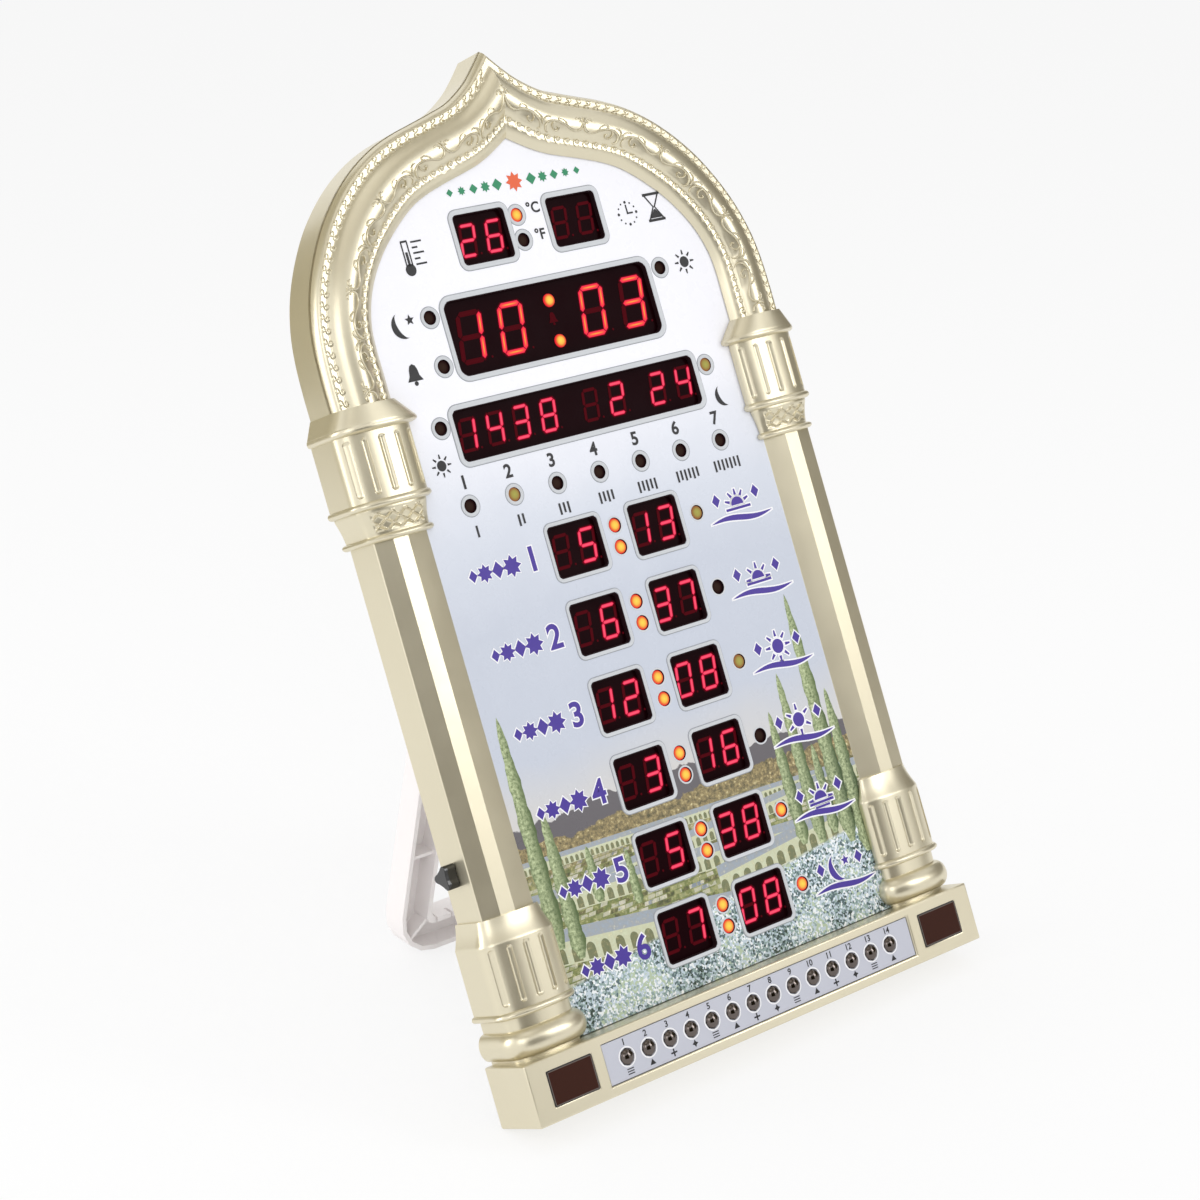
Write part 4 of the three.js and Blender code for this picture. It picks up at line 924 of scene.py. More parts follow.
# Steps across a rim from its outer edge: width of the step, and height it ends at
rim = {
    "outset": 1.55, "rowShare": 0.72, "line": 0.28, "rear": 0.03, "wallInset": 0.43, "wallDepth": 2.2,
    "steps": [(0.1, 0.3), (0.2, 0.45), (0.4, 0.42), (1.3, 0.08)], "lineSteps": [(0.05, 0.08), (0.28, 0.08)],
}
lampHole = 3.2
lampRims = {  # how far out each ring starts, its height there, its steps and where it ends
    "ringed": (1.0, 0.0, [(0.1, 0.22), (0.2, 0.3), (1.05, 0.04)], rim["rear"]),
    "line": (1.3, 0.0, [(0.05, 0.06), (0.3, 0.06)], rim["rear"]),
    "plain": (0.55, 0.0, [(0.08, 0.08), (0.6, 0.03)], rim["rear"]),
    "wall": (0.1, -0.02, [(0.36, 0.01)], rim["wallDepth"]),
}
modeLamps = [
    (-4.7, 336.4), (-4.7, 326.2), (-58.2, 303.8), (-58.2, 284.3), (58.2, 304.3), (-67.4, 261.5), (67.4, 261.5),
]
weekdays = [((i - 3) * 21.35, 230.1) for i in range(7)]
colonLamps = [(0.0, z + up * 4.45) for z in rowHeights for up in sides]
rowLamps = [(41.9, z + 0.4) for z in rowHeights]
lampPlaces = modeLamps + weekdays + colonLamps + rowLamps


def makeRims():
    silver, lines, black = bmesh.new(), bmesh.new(), bmesh.new()

    def windowRing(bm, window, grow, y, steps, rear):
        x0, x1, z0, z1, corner = window
        face = roundedFace(bm, x0 - grow, x1 + grow, z0 - grow, z1 + grow, corner + max(grow, 0), y)
        steppedRing(bm, face, steps, rear)

    for name, window in windows.items():
        share = rim["rowShare"] if name[:-1] in ("hour", "minute") else 1
        outset = rim["outset"] * share
        steps = [(width * share, height) for width, height in rim["steps"]]
        windowRing(silver, window, outset, 0.0, steps, rim["rear"])
        windowRing(lines, window, outset + rim["line"], 0.0, rim["lineSteps"], rim["rear"])
        windowRing(black, window, -rim["wallInset"], -0.06, [(0.4, 0.03)], rim["wallDepth"])
    for place in lampPlaces:
        ringed = place in modeLamps or place in weekdays
        for kind, bm in (("ringed" if ringed else "plain", silver), ("line", lines), ("wall", black)):
            if kind != "line" or ringed:
                outset, y, steps, rear = lampRims[kind]
                steppedRing(bm, disc(bm, *place, lampHole + outset, y, 28), steps, rear)
    for name, bm, look, angle in (
        ("rims", silver, "rimSilver", 25), ("lines", lines, "rimLine", 32), ("walls", black, "windowWall", 32),
    ):
        bmesh.ops.recalc_face_normals(bm, faces=bm.faces)
        addPiece(f"window_{name}", bm, look, angle=angle)


makeRims()
print("rims made")

# Segments of a digit, in shares of its width and height
segmentLines = {
    "a": ((0, 1), (1, 1)), "b": ((1, 1), (1, 0.5)), "c": ((1, 0.5), (1, 0)), "d": ((0, 0), (1, 0)),
    "e": ((0, 0.5), (0, 0)), "f": ((0, 1), (0, 0.5)), "g": ((0, 0.5), (1, 0.5)),
}
litSegments = {
    "0": "abcdef", "1": "bc", "2": "abged", "3": "abgcd", "4": "fgbc", "5": "afgcd", "6": "afgedc",
    "7": "abc", "8": "abcdefg", " ": "",
}
digit = {
    "slant": tan(radians(9.0)), "stroke": 0.1, "space": 0.1, "front": 2.17, "rear": 2.24, "core": 0.62,
    "edge": {"orange": 0.1, "red": 0.8}, "halo": 1.3, "haloDepth": 0.012, "haloStep": 0.005, "haloThickness": 0.02,
    "point": 0.5, "pointX": 0.5, "pointZ": 0.6, "pointGlow": 0.5,
}
# What each display shows, where its digits start and end, their feet and heads, and their colour
shown = [
    ("1003", [(-48.2, -32.6), (-28.0, -12.3), (12.9, 28.5), (33.6, 49.2)], (283.0, 303.8), "orange"),
    ("1438", [(-59.6, -49.4), (-46.2, -36.2), (-33.4, -23.4), (-19.8, -9.8)], (250.2, 263.5), "red"),
    (" 2", [(1.6, 11.6), (15.2, 25.2)], (250.2, 263.5), "red"),
    ("24", [(36.6, 46.6), (50.4, 60.4)], (250.2, 263.5), "red"),
    ("26", [(-34.2, -24.2), (-21.4, -11.4)], (323.8, 337.0), "red"),
    ("  ", [(11.8, 21.8), (24.6, 34.6)], (323.8, 337.0), "red"),
]
rowCells, rowReach = [(-32.0, -21.6), (-19.0, -8.6), (8.8, 19.2), (21.8, 32.2)], 6.9
for text, z in zip((" 513", " 637", "1208", " 316", " 538", " 708"), rowHeights):
    shown.append((text, rowCells, (z - rowReach, z + rowReach), "red"))


def addSegment(bm, ends, stroke, grow, middle, depth, edge):
    start, end = Vector(ends[0]), Vector(ends[1])
    wide = stroke + grow
    length = (end - start).length - 2 * digit["space"] * wide + 2 * grow
    turn = Matrix.Rotation(atan2(end.y - start.y, end.x - start.x), 2)
    glow = bm.verts.layers.float["glow"]
    made = circle(bm, 1, 6)
    for vert in made:
        x, z = vert.co.y, vert.co.x
        tip = abs(x) > 0.9
        reach = length / 2 if tip else (length - wide) / 2
        flat = Vector(((1 if x > 0 else -1) * reach, 0 if tip else (1 if z > 0 else -1) * wide / 2))
        spot = turn @ flat + (start + end) / 2
        vert.co = Vector((spot.x + (spot.y - middle) * digit["slant"], depth, spot.y))
    face = made[0].link_faces[0]
    face.normal_update()
    inset = wide * digit["core"] / 2
    bmesh.ops.inset_region(bm, faces=[face], thickness=inset, use_even_offset=True, use_boundary=True)
    for vert in face.verts:
        vert[glow] = edge
    bmesh.ops.poke(bm, faces=[face])["verts"][0][glow] = 1.0


def addDigit(meshes, value, x0, x1, z0, z1, kind):
    overhang = digit["slant"] * (z1 - z0) / 2
    stroke = (z1 - z0) * digit["stroke"]
    left, right = x0 + overhang + stroke / 2, x1 - overhang - stroke / 2
    low, high, middle = z0 + stroke / 2, z1 - stroke / 2, (z0 + z1) / 2
    for step, (name, line) in enumerate(segmentLines.items()):
        ends = [(left + a * (right - left), low + b * (high - low)) for a, b in line]
        lit = name in litSegments[value]
        # segments that are off go to the mesh painted with a faint glow
        addSegment(meshes[kind if lit else "off"], ends, stroke, 0, middle, digit["front"], digit["edge"][kind])
        if lit:
            depth = digit["rear"] + digit["haloDepth"] + digit["haloStep"] * step
            addSegment(meshes["halo"], ends, stroke, digit["halo"], middle, depth, 1.0)
    # the decimal point also has the painted faint glow of the unlit segments
    off = meshes["off"]
    spot = (x1 + stroke * digit["pointX"] - overhang, z0 + stroke * digit["pointZ"])
    for vert in disc(off, *spot, digit["point"], digit["front"], 8).verts:
        vert[off.verts.layers.float["glow"]] = digit["pointGlow"]


def makeDigits():
    meshes = {name: bmesh.new() for name in ("orange", "red", "off", "halo")}
    for bm in meshes.values():
        bm.verts.layers.float.new("glow")
    for text, cells, ends, kind in shown:
        for value, cell in zip(text, cells):
            addDigit(meshes, value, *cell, *ends, kind)
    # The dim mark between the two dots: a little bell, with the painted faint glow of the unlit segments
    bell(meshes["off"], 0.2, 293.4, 2.9, digit["front"])
    for name, bm in meshes.items():
        backTo(bm, digit["haloThickness"] if name == "halo" else digit["rear"] - digit["front"])
        addPiece(f"segments_{name}", bm, f"segment{name.capitalize()}", angle=20)


# A dome's shares of its radius, depths (the last is the rear) and glow; the first depth is the front
lampDome = {
    "radius": 2.86, "front": {"lit": -0.16, "dim": -0.16, "off": 0.7}, "rear": 2.25, "steps": 20,
    "shape": [(0.5, 0.02), (0.8, 0.08), (0.96, 0.24), (1.0, 1.0)], "glow": (1.0, 0.72, 0.16, 0.0, 0.0),
}
timeDots = {"x": 0.6, "heights": (301.0, 284.4), "radius": 2.7, "front": 1.6}
litLamps = [modeLamps[0], *colonLamps, rowLamps[4], rowLamps[5]]
dimLamps = [weekdays[1], rowLamps[0], rowLamps[2], modeLamps[6]]


def addDome(bm, x, z, radius, front):
    depth = lampDome["rear"] - front
    profile = [(0, front)] + [(share * radius, front + down * depth) for share, down in lampDome["shape"]]
    spun(bm, x, z, profile, lampDome["steps"], lampDome["glow"])


def makeLamps():
    # lamps that are off get a painted faint glow as well
    for name, look in (("lit", "lampOn"), ("dim", "lampDim"), ("off", "lampOff")):
        bm = bmesh.new()
        bm.verts.layers.float.new("glow")
        for place in lampPlaces:
            if name == ("lit" if place in litLamps else "dim" if place in dimLamps else "off"):
                addDome(bm, *place, lampDome["radius"], lampDome["front"][name])
        if name == "lit":
            for z in timeDots["heights"]:
                addDome(bm, timeDots["x"], z, timeDots["radius"], timeDots["front"])
        closeShell(bm)
        addPiece(f"lamps_{name}", bm, look, angle=50)


makeDigits()
makeLamps()
print("digits and lamps made")

# Colours of the printed picture
palette = {
    "skyTop": (247, 247, 253), "skyMiddle": (214, 219, 230), "skyLow": (200, 206, 219), "haze": (214, 212, 210),
    "hillFar": (104, 100, 104), "scrub": (62, 66, 44), "hill": (128, 116, 84), "dryHill": (168, 150, 104),
    "sunlitHill": (236, 226, 178), "deepHedge": (62, 84, 48), "hedge": (118, 142, 78), "lawn": (170, 182, 128),
    "paleWall": (222, 226, 204), "whiteWall": (240, 240, 226), "water": (150, 170, 196),
    "stoneWet": (60, 76, 66), "stoneDark": (92, 112, 116), "stoneGrey": (150, 172, 168), "stone": (200, 214, 224),
    "stoneWhite": (244, 248, 250), "stoneMoss": (188, 204, 176),
    "Wall": (220, 226, 194), "Arch": (120, 128, 94), "Roof": (168, 180, 194),
}
stops = {
    "sky": [(0.27, "haze"), (0.33, "skyLow"), (0.46, "skyLow"), (0.54, "skyMiddle"), (0.66, "skyTop")],
    "hill": [(0.3, "scrub"), (0.46, "hill"), (0.58, "dryHill"), (0.66, "sunlitHill")],
    "garden": [
        (0.05, "deepHedge"), (0.22, "hedge"), (0.42, "lawn"), (0.6, "paleWall"), (0.8, "whiteWall"),
        (0.97, "water"),
    ],
    "paving": [
        (0.1, "stoneWet"), (0.28, "stoneDark"), (0.42, "stoneGrey"), (0.58, "stone"), (0.8, "stoneWhite"),
        (0.95, "stoneMoss"),
    ],
}
# Long low garden walls with arches: foot at the middle, slope, height, pitch, and the stretch they cover
arcades = [
    (86.0, -0.03, 3.4, 2.5, -90.0, 90.0), (76.5, 0.05, 4.8, 3.6, -90.0, 90.0), (66.0, -0.06, 6.4, 4.9, -90.0, 62.0),
    (54.0, 0.09, 8.0, 6.2, 2.0, 90.0), (42.0, -0.12, 9.0, 7.0, -90.0, 6.0),
]
# Shares of an arcade's height and pitch
arcade = {
    "start": 210.0, "halfSpan": 0.3, "archRise": 0.28, "foot": 0.06, "spring": 0.5, "roof": 1.55,
    "inputs": ("X", "Z", "Foot", "Slope", "Tall", "Pitch", "From", "To"),
}
# Heights, bands and bends of the picture in millimetres, and scales of its noises per millimetre
view = {
    "top": 400.0, "cloud": 0.02, "drift": 24.0, "farHill": (0.035, 26.0, 94.0), "nearHill": (0.06, 14.0, 92.0),
    "horizon": 110.0, "nearness": 20.0, "fall": 0.6, "spread": 1.4, "narrowest": 1.2, "rows": 9.0,
    "gardenTop": 86.0, "gardenSoft": 10.0, "gardenWave": 8.0, "pavingTop": 52.0, "pavingSlope": 0.12,
    "pavingSoft": 1.5, "pebbles": 1.15, "soft": 0.4,
}


def ramp(value, name, blend="LINEAR"):
    colour = make(value.tree, "ValToRGB", {"Fac": value}, "Color")
    bands = colour.socket.node.color_ramp
    bands.interpolation = blend
    for _ in stops[name][2:]:
        bands.elements.new(0.5)
    for element, (place, shade) in zip(bands.elements, stops[name]):
        element.position = place
        element.color = paint(*palette[shade])
    return colour


def below(value, edge, width=view["soft"]):  # 1 below the edge, 0 above it, with a soft step
    return 1.0 - (value - edge).math("DIVIDE", width, clamp=True)


def makeArcadeGroup():
    group, given, result = newGroup(
        "arcadePrint", dict.fromkeys(arcade["inputs"], "Float"), dict.fromkeys(("Wall", "Arch", "Roof"), "Float")
    )

    def within(value, low, high):
        return value.math("GREATER_THAN", low) * value.math("LESS_THAN", high)

    x = given["X"]
    up = (given["Z"] - (x * given["Slope"] + given["Foot"])) / given["Tall"]
    along = (((x + arcade["start"]) / given["Pitch"]).math("FRACT") - 0.5).math("ABSOLUTE")
    across = (along / arcade["halfSpan"]).math("POWER", 2.0)
    crown = ((up - arcade["spring"]) / arcade["archRise"]).math("ABSOLUTE").math("POWER", 2.0)
    door = within(up, arcade["foot"], arcade["spring"]) * along.math("LESS_THAN", arcade["halfSpan"])
    parts = {
        "Wall": within(up, 0.0, 1.0), "Arch": (across + crown).math("LESS_THAN", 1.0).math("MAXIMUM", door),
        "Roof": within(up, 1.0, arcade["roof"]),
    }
    stretch = within(x, given["From"], given["To"])
    for name, value in parts.items():
        fill(group, result[name], value * stretch)
    return group


def makePanelPrint():
    sky = palette["skyTop"]
    material = finishOf(sky, sky, 0.28, grain=2.0, depth=0.004, gloss=0.3)
    tree = material.node_tree
    x = make(tree, "SeparateXYZ", {0: ownPlace(tree)}, "X")
    z = x.other("Z")
    spot = make(tree, "CombineXYZ", {"X": x, "Y": z})
    cloud = noise(spot, view["cloud"], 4.0)
    colour = ramp((z + (cloud - 0.5) * view["drift"]) / view["top"], "sky")
    # Two ridges of hills
    scale, height, foot = view["farHill"]
    colour = mix(tree, below(z, noise(spot, scale, 5.0) * height + foot), colour, paint(*palette["hillFar"]))
    scrub = noise(spot, 0.5, 6.0, 0.7)
    hillTone = ramp(scrub, "hill")
    scale, height, foot = view["nearHill"]
    colour = mix(tree, below(z, noise(spot, scale, 4.0) * height + foot), colour, hillTone)
    # Terraced garden: rows of pale blocks and hedges, larger towards the front
    depth = ((view["horizon"] - z) / view["nearness"]).math("POWER", view["fall"])
    bent = {"X": x / (depth * view["spread"] + view["narrowest"]), "Y": depth * view["rows"]}
    blocks = {
        "Scale": 1.1, "Mortar Size": 0.05, "Brick Width": 1.2, "Row Height": 0.42, "Color1": (0, 0, 0, 1),
        "Color2": (1, 1, 1, 1), "Mortar": (0.35, 0.35, 0.35, 1), "Vector": make(tree, "CombineXYZ", bent),
    }
    wander = make(tree, "TexBrick", blocks, "Color", offset_frequency=3) + (noise(spot, 0.16, 5.0) - 0.5)
    garden = mix(tree, 0.45, ramp(wander, "garden", "CONSTANT"), hillTone)
    inGarden = below(cloud * view["gardenWave"] + z, view["gardenTop"], view["gardenSoft"])
    colour = mix(tree, inGarden, colour, garden)
    arcadePrint = makeArcadeGroup()
    worn = scrub * 1.1 - 0.32
    for sizes in arcades:
        inputs = dict(zip(arcade["inputs"], (x, z, *sizes)))
        walls = make(tree, "Group", inputs, "Roof", node_tree=arcadePrint)
        for name in ("Roof", "Wall", "Arch"):
            colour = mix(tree, walls.other(name), colour, mix(tree, worn, paint(*palette[name]), hillTone))
    # Pebble paving in front
    pebbles = make(tree, "TexVoronoi", {"Scale": view["pebbles"], "Randomness": 1.0, "Vector": spot}, "Color")
    tone = make(tree, "SeparateColor", {0: pebbles}) * 0.7 + (noise(spot, 0.05) * 1.3 - 0.35)
    inPaving = below(z, x * view["pavingSlope"] + view["pavingTop"], view["pavingSoft"])
    dress(material, {"Base Color": mix(tree, inPaving, colour, ramp(tone, "paving", "CONSTANT"))})
    return material


looks["panelPrint"] = makePanelPrint()

# Depths of the print's layers, and how far the white one reaches past the purple
ink = {"rear": -0.03, "white": -0.07, "colour": -0.11, "thickness": 0.03, "outline": 0.6}
# One row's number and pattern, from its middle: places across, heights up and sizes
rowMark = {
    "number": (-43.0, 13.5, 0.34), "bolder": 0.9, "stars": ((-53.2, 4.5), (-66.2, 3.7)), "widen": 2.6,
    "lozenges": ((-60.0, 0.0, 5.4, 6.75), (-71.9, 0.0, 3.9, 4.875), (52.9, 2.6, 4.2, 5.4), (74.1, 2.6, 4.2, 5.4)),
    "day": (63.5, 1.4, 6.6), "swash": (47.5, 80.5, -6.4, 0.9, 2.4),
}
day = {"number": (239.2, 7.4, 0.2), "foot": 217.6, "step": 0.6, "top": 222.2, "pitch": 2.1, "halfWidth": 0.48}
units = {"x": 3.9, "size": 6.0, "bold": 0.14, "heights": {"C": 337.9, "F": 327.0}}
# Shape, place and radius of each mark beside a lamp
lampMarks = [
    (crescent, -71.2, 303.0, 5.2), (star, -67.6, 304.6, 2.2), (bell, -72.4, 283.4, 4.6), (disc, 71.4, 304.6, 2.3),
    (sun, 71.4, 304.6, 5.0), (disc, -71.8, 247.6, 2.1), (sun, -71.8, 247.6, 4.5), (crescent, 72.2, 247.6, 4.4),
]
thermometer = {
    "x": -60.5, "bulb": (323.2, 2.4), "bars": ((-1.65, -1.05, 9.6), (1.05, 1.65, 9.6), (-0.55, 0.55, 5.6)),
    "foot": 324.6, "cap": (-1.6, 1.6, 334.0, 334.8), "scale": (3.1, 8.1, 5.7, 2.2, 0.7),
}
hourglass = {
    "x": 63.8, "z": 329.2, "plates": (59.4, 68.2, 1.1, (323.2, 334.0)), "foot": 324.6,
    "sand": [(-3.3, 0.0), (3.3, 0.0), (0.3, 3.6), (-0.3, 3.6)], "wall": [(0, 0), (0.7, 0), (3.9, 4.9), (3.1, 4.9)],
}
dial = {
    "x": 49.6, "z": 328.6, "radius": 4.6, "dots": (0.62, 0.4),
    "hands": ((49.25, 49.95, 328.3, 332.2), (49.25, 52.4, 328.25, 328.95)),
}
crest = {"x": -1.5, "z": 349.6, "star": 4.1, "first": 8.5, "pitch": 5.8, "size": 4.9, "less": 0.45, "share": 0.52}
eightTips = (8, 0.62)  # tips and waist of an eight-pointed star


def dayMark(bm, kind, x, z, radius, y, grow):
    if kind in ("dawn", "rise", "set"):
        low = z - radius * 0.35
        rays = (radians(20), grow, radians(140)) if kind == "dawn" else (0.0, grow, pi)
        halfDisc(bm, x, low, radius * 0.5, y, grow)
        sun(bm, x, low, radius, y, 5, *rays)
        for share, bottom, top in ((1, 0.3, 0.14), (0.6, 0.56, 0.42))[: 2 if kind == "set" else 1]:
            reach = radius * share + grow
            bar(bm, x - reach, x + reach, low - radius * bottom - grow, low - radius * top + grow, y)
    elif kind == "night":
        crescent(bm, x - radius * 0.1, z, radius * 0.85, y, grow=grow)
        star(bm, x + radius * 0.5, z + radius * 0.25, radius * 0.34, y, grow=grow)
    else:
        disc(bm, x, z, radius * 0.45 + grow, y)
        sun(bm, x, z, radius, y, *((8, 0.0) if kind == "noon" else (6, radians(30))), grow)


def rowMarks(bm, number, kind, z, y, grow):
    place, size, bold = rowMark["number"]
    textFaces(bm, number, place, z, size, y, bold + grow * rowMark["bolder"])
    for place, reach in rowMark["stars"]:
        star(bm, place, z, reach, y, *eightTips, grow)
    for place, lift, across, up in rowMark["lozenges"]:
        lozenge(bm, place, z + lift, across + rowMark["widen"] * grow, up + rowMark["widen"] * grow, y)
    place, lift, radius = rowMark["day"]
    dayMark(bm, kind, place, z + lift, radius, y, grow)
    start, end, drop, swing, width = rowMark["swash"]
    swash(bm, start, end, z + drop, swing, width, y, grow)


def weekdayMarks(bm, y):
    z, size, bold = day["number"]
    for i, (x, _) in enumerate(weekdays):
        textFaces(bm, str(i + 1), x, z, size, y, bold)
        for k in range(i + 1):
            middle = x + (k - i / 2) * day["pitch"]
            foot = day["foot"] + day["step"] * (k % 2)
            bar(bm, middle - day["halfWidth"], middle + day["halfWidth"], foot, day["top"], y)


def instrumentMarks(bm, y):  # thermometer with its scale, hourglass, and a dial before it
    x, foot = thermometer["x"], thermometer["foot"]
    z, radius = thermometer["bulb"]
    disc(bm, x, z, radius, y)
    for left, right, tall in thermometer["bars"]:
        bar(bm, x + left, x + right, foot, foot + tall, y)
    left, right, low, high = thermometer["cap"]
    bar(bm, x + left, x + right, low, high, y)
    start, long, short, pitch, thick = thermometer["scale"]
    for k in range(5):
        bar(bm, x + start, x + (short if k % 2 else long), foot + pitch * k, foot + pitch * k + thick, y)
    left, right, thick, heights = hourglass["plates"]
    for z in heights:
        bar(bm, left, right, z, z + thick, y)
    blot(bm, hourglass["sand"], hourglass["x"], hourglass["foot"], y)
    for side in sides:
        for up in sides:
            corners = [(side * a, up * b) for a, b in hourglass["wall"]]
            blot(bm, corners, hourglass["x"], hourglass["z"], y)
    for k in range(12):
        x, z = dial["x"] + dial["radius"] * sin(pi * k / 6), dial["z"] + dial["radius"] * cos(pi * k / 6)
        disc(bm, x, z, dial["dots"][bool(k % 3)], y, 8)
    for hand in dial["hands"]:
        bar(bm, *hand, y)


def makeLabels():
    meshes = {name: bmesh.new() for name in ("black", "purple", "white", "green", "orange")}
    black, front = meshes["black"], ink["colour"]
    for i, (kind, z) in enumerate(zip(("dawn", "rise", "noon", "late", "set", "night"), rowHeights)):
        rowMarks(meshes["purple"], str(i + 1), kind, z, front, 0.0)
        rowMarks(meshes["white"], str(i + 1), kind, z, ink["white"], ink["outline"])
    weekdayMarks(black, front)
    for unit, z in units["heights"].items():
        textFaces(black, "°" + unit, units["x"], z, units["size"], front, units["bold"])
    for shape, x, z, radius in lampMarks:
        shape(black, x, z, radius, front)
    instrumentMarks(black, front)
    # A plain ornament line over the small windows
    star(meshes["orange"], crest["x"], crest["z"], crest["star"], front, *eightTips)
    for side in sides:
        for k in range(5):
            x, size = crest["x"] + side * (crest["first"] + crest["pitch"] * k), crest["size"] - crest["less"] * k
            if k % 2:
                star(meshes["green"], x, crest["z"], size * crest["share"], front, *eightTips)
            else:
                lozenge(meshes["green"], x, crest["z"], size, size, front)
    for name, bm in meshes.items():
        backTo(bm, ink["thickness"])
        addPiece(f"print_{name}", bm, f"ink{name.capitalize()}", angle=20)


# Trees of the printed garden: place, foot, top and width
trees = [
    (-79.6, 58, 150, 7.6), (-71.5, 52, 112, 7.0), (-38.4, 64, 86, 4.4), (49.2, 62, 118, 6.4), (58.6, 60, 132, 6.8),
    (74.0, 56, 162, 8.0), (81.2, 50, 120, 7.4), (-56.0, 70, 92, 5.0), (66.4, 62, 100, 5.6),
]
# A crown: ripples of its edge as size and radians up its height; its highest glow, the fall to the sides
# and how far to the left the brightest line lies
crown = {"columns": 4, "levels": 36, "ripples": ((0.09, 34), (0.07, 83)), "bright": (0.95, 0.8, 0.35)}


def makeGarden():
    wood = bmesh.new()
    glow = wood.verts.layers.float.new("glow")
    columns, levels = crown["columns"], crown["levels"]
    slow, fast = crown["ripples"]
    lightest, fall, shift = crown["bright"]
    for x, low, high, width in trees:

        def crownAt(i, j):
            share = j / levels
            reach = width / 2 * min(0.4 + share * 7, 1) * (1 - share**2.6) ** 0.6
            reach *= 1 + slow[0] * sin(slow[1] * share + x) + fast[0] * sin(fast[1] * share + i)
            return Vector((x + reach * (2 * i / columns - 1), ink["rear"], low + share * (high - low)))

        for vert in mappedGrid(wood, columns, levels, crownAt):
            vert[glow] = lightest - fall * abs((vert.co.x - x) / width * 2 + shift)
    bmesh.ops.remove_doubles(wood, verts=wood.verts, dist=1e-3)
    backTo(wood, 0.02)
    addPiece("print_trees", wood, "treeGreen", angle=20)


makeLabels()
makeGarden()
print("print made")

# The row of keys
keys = {"count": 14, "pitch": 10.8, "z": 12.4, "centreX": -0.8}
keyPlaces = [keys["centreX"] + (i - (keys["count"] - 1) / 2) * keys["pitch"] for i in range(keys["count"])]
# Radius and depth, from the crown round the skirt to the stem
keyProfile = [
    (0, -11.5), (0.9, -11.44), (1.7, -11.22), (2.4, -10.85), (2.9, -10.35), (3.15, -9.8), (3.2, -9.0),
    (3.2, -8.0), (4.3, -8.0), (4.3, -7.0), (1.5, -7.0), (1.5, -5.4), (0, -5.4),
]
# The ring round a key, and the number over it and mark under it
keyMark = {"ring": 4.05, "proud": 0.05, "reach": 5.7, "size": 3.5, "bold": 0.07, "thickness": 0.04}
keyBars = {
    "lines": [(-1.6, 1.6, low, low + 0.4) for low in (-1.1, -0.15, 0.8)],
    "cross": [(-1.5, 1.5, -0.32, 0.32), (-0.32, 0.32, -1.5, -0.32), (-0.32, 0.32, 0.32, 1.5)],
}
# Rings round an infrared window: growth, width, height, look. The black ring just outside each chrome frame is
# painted shade of the gap where the frame meets the housing
sensorRings = {"frames": (0.45, 0.62, 0.16, "chromePlate"), "gapShade": (0.75, 0.35, 0.05, "blackPlastic")}


def makeKeys():
    for i, x in enumerate(keyPlaces):
        number = f"{i + 1:02d}"
        bm = bmesh.new()
        spun(bm, x, keys["z"], keyProfile, 32)
        bmesh.ops.remove_doubles(bm, verts=bm.verts, dist=1e-4)
        bmesh.ops.recalc_face_normals(bm, faces=bm.faces)
        addPiece(
            f"key_cap_{number}", bm, "chromePlate", body=f"key_{number}", angle=60,
            replaced=f"key_{number}",
        )


def makeKeyLabels():
    bm, rings = bmesh.new(), bmesh.new()
    unplaced = clockPlace.inverted()
    y = min((unplaced @ vert.co).y for vert in nodes["key_strip"].data.vertices) - keyMark["proud"]
    low, high = keys["z"] - keyMark["reach"], keys["z"] + keyMark["reach"]
    for i, x in enumerate(keyPlaces):
        face = disc(rings, x, keys["z"], keyMark["ring"], y + 0.03, 28)
        steppedRing(rings, face, [(0.06, 0.02 - y), (0.52, 0.02 - y)], y + 0.06)
        textFaces(bm, str(i + 1), x, high, keyMark["size"], y, keyMark["bold"])
        kind = ("lines", "triangle", "cross", "star")[i % 4]
        for left, right, bottom, top in keyBars.get(kind, ()):
            bar(bm, x + left, x + right, low + bottom, low + top, y)
        if kind == "triangle":
            blot(bm, [(-1.4, -1.0), (1.4, -1.0), (0.0, 1.3)], x, low, y)
        elif kind == "star":
            star(bm, x, low, 1.5, y, 4, 0.5)
    backTo(bm, keyMark["thickness"])
    bmesh.ops.recalc_face_normals(rings, faces=rings.faces)
    addPiece("key_marks", bm, "inkBlack", angle=20)
    addPiece("key_rings", rings, "inkWhite")


def makeSensorRings():
    front, reach = base["front"], irWindow["halfWidth"]
    for name, (grow, width, height, look) in sensorRings.items():
        bm = bmesh.new()
        for side in sides:
            x = side * irWindow["x"]
            ends = (x - reach - grow, x + reach + grow, irWindow["bottom"] - grow, irWindow["top"] + grow)
            face = roundedFace(bm, *ends, 0.9, 0.1 - front)
            steps = [(0.1, front + height), (width, front + height), (0.12, front - 0.25)]
            steppedRing(bm, face, steps, 0.4 - front)
        bmesh.ops.recalc_face_normals(bm, faces=bm.faces)
        addPiece(f"sensor_{name}", bm, look, angle=30)


makeKeys()
makeKeyLabels()
makeSensorRings()
print("keys made")

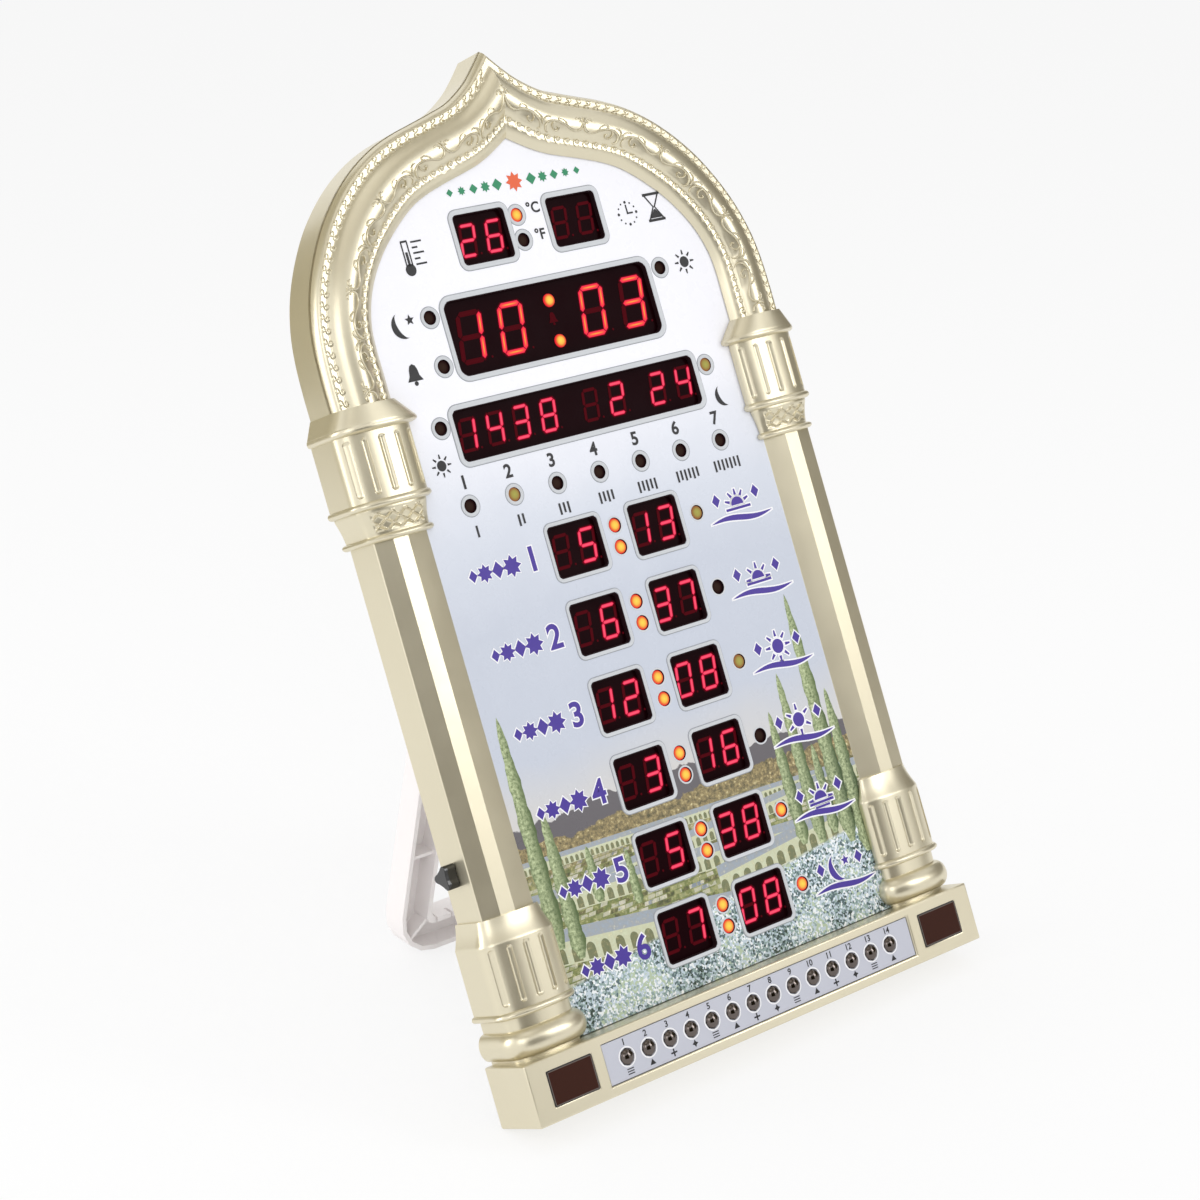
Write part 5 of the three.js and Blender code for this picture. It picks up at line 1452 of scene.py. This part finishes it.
# Node, finish, slot, body and radius of its edges
mouldings = [
    ("rear_cover", "whitePlastic", "white_plastic", "case", 0.6),
    ("stand_leg", "standPlastic", "stand_plastic", "stand", 0.5),
    ("volume_knob", "glossBlack", "black_gloss", "knob", 0.3),
    ("dc_jack", "blackPlastic", "black_plastic", "case", 0.25),
    ("ir_window_left", "brownWindow", "brown_window", "case", 0.3),
    ("ir_window_right", "brownWindow", "brown_window", "case", 0.3),
]
sharpest = 35
for name, look, slotName, body, width in mouldings:
    bm = bmesh.new()
    bm.from_mesh(nodes[name].data)
    bmesh.ops.remove_doubles(bm, verts=bm.verts, dist=1e-6)
    bmesh.ops.dissolve_limit(bm, angle_limit=radians(0.8), verts=bm.verts, edges=bm.edges, delimit=set())
    piece = addPiece(f"{name}_moulding", bm, look, body, sharpest, name, Matrix())
    roundEdges(piece, width, 2, sharpest)
print("mouldings made")

# Finishes of the nodes that stay
nodeLooks = {
    "front_panel": "panelPrint", "display_filter": "darkRedSheet", "main_board": "circuitGreen",
    "cell_holder": "blackPlastic", "key_strip": "silverSheet", "key_board": "circuitGreen",
    "ribbon_cable": "greyRibbon", "speaker_frame": "blackPlastic", "speaker_cone": "paperCone",
    "speaker_magnet": "magnetGrey", **{name: look for name, look, *_ in mouldings},
}
for name, node in nodes.items():
    look = nodeLooks.get(name, "displayBlack" if "display" in name else "brightSteel")
    node.data.materials.clear()
    node.data.materials.append(looks[look])
for name, material in looks.items():
    material.name = name


# Camera, floor and light
cameraView = {"place": (-0.673568, -0.80730, 0.57358), "look": (0.59267, 0.71867, -0.36367), "lens": 84.56}
stage = {"size": 6.0, "floor": (250, 250, 250), "whitening": 0.72, "ambient": 0.76, "aim": (0, 0, 0.18)}
lamps = {
    "key": {"place": (0.97, -1.22, 0.98), "size": (0.46, 0.74), "power": 4.2},
    "front": {"place": (-1.05, -1.15, 1.3), "size": (0.75, 0.75), "power": 3.2},
    "top": {"place": (-0.1, -0.2, 1.9), "size": (1.2, 1.2), "power": 1.8},
    "left": {"place": (-1.5, 0.5, 0.6), "size": (0.9, 0.9), "power": 7.0},
}
# Cards round the set, seen only in mirror-like surfaces: bearings from the front, heights, distance
# at their foot and top, and colour
cards = {
    "camera_side": ((-22.0, 25.0), (0.12, 1.4), (1.9, 1.9), (72, 64, 46)),
    "right_side": ((47.0, 118.0), (0.12, 1.55), (1.9, 1.9), (110, 102, 82)),
    "rear_left": ((-172.0, -112.0), (0.05, 1.5), (0.68, 0.68), (170, 161, 130)),
    "overhead": ((-180.0, 180.0), (2.6, 3.2), (1.9, 0.285), (196, 190, 176)),
}


def addAimed(name, data, place, direction):
    thing = bpy.data.objects.new(name, data)
    thing.location = place
    thing.rotation_euler = direction.to_track_quat("-Z", "Y").to_euler()
    scene.collection.objects.link(thing)
    return thing


def seenDirectly(tree):  # camera, mirror and glass rays, which should meet a white background
    camera = make(tree, "LightPath", {}, "Is Camera Ray")
    mirror, glass = camera.other("Is Glossy Ray"), camera.other("Is Transmission Ray")
    return camera.math("MAXIMUM", mirror).math("MAXIMUM", glass)


def mattMaterial(name, colour, roughness):
    material, tree = newMaterial(name)
    dress(material, {"Base Color": paint(*colour), "Roughness": roughness, "Specular IOR Level": 0.0})
    return material, tree


def makeFloor():
    bm = bmesh.new()
    bmesh.ops.create_grid(bm, x_segments=4, y_segments=4, size=stage["size"])
    material, tree = mattMaterial("floorWhite", stage["floor"], 0.9)
    matt, glow = tree.nodes["Principled BSDF"].outputs[0], make(tree, "Emission", {"Strength": 1.0})
    both = make(tree, "MixShader", {0: seenDirectly(tree) * stage["whitening"], 1: matt, 2: glow})
    fill(tree, tree.nodes["Material Output"].inputs[0], both)
    addObject("floor", bm, material)


def makeCard(name, bearings, heights, radii, colour, steps=24):
    def pointAt(i, j):
        angle = radians(bearings[0] + (bearings[1] - bearings[0]) * i / steps)
        return Vector((radii[j] * sin(angle), -radii[j] * cos(angle), heights[j]))

    bm = bmesh.new()
    mappedGrid(bm, steps, 1, pointAt)
    piece = addObject(name, bm, mattMaterial(name, colour, 1.0)[0])
    piece.visible_camera = piece.visible_diffuse = piece.visible_shadow = piece.visible_transmission = False


cameraData = bpy.data.cameras.new("camera")
cameraData.lens = cameraView["lens"]
scene.camera = addAimed("camera", cameraData, cameraView["place"], Vector(cameraView["look"]))
makeFloor()

world = bpy.data.worlds.new("studio")
scene.world = world
world.use_nodes = True
background = world.node_tree.nodes["Background"].inputs
background["Color"].default_value = (1, 1, 1, 1)
strength = seenDirectly(world.node_tree) * (1 - stage["ambient"]) + stage["ambient"]
fill(world.node_tree, background["Strength"], strength)

for name, lamp in lamps.items():
    data = bpy.data.lights.new(name, "AREA")
    data.shape = "RECTANGLE"
    data.size, data.size_y = lamp["size"]
    data.energy = lamp["power"]
    addAimed(name, data, lamp["place"], Vector(stage["aim"]) - Vector(lamp["place"]))
for name, card in cards.items():
    makeCard(name, *card)

scene.view_settings.view_transform = "Standard"

print("scene ready")
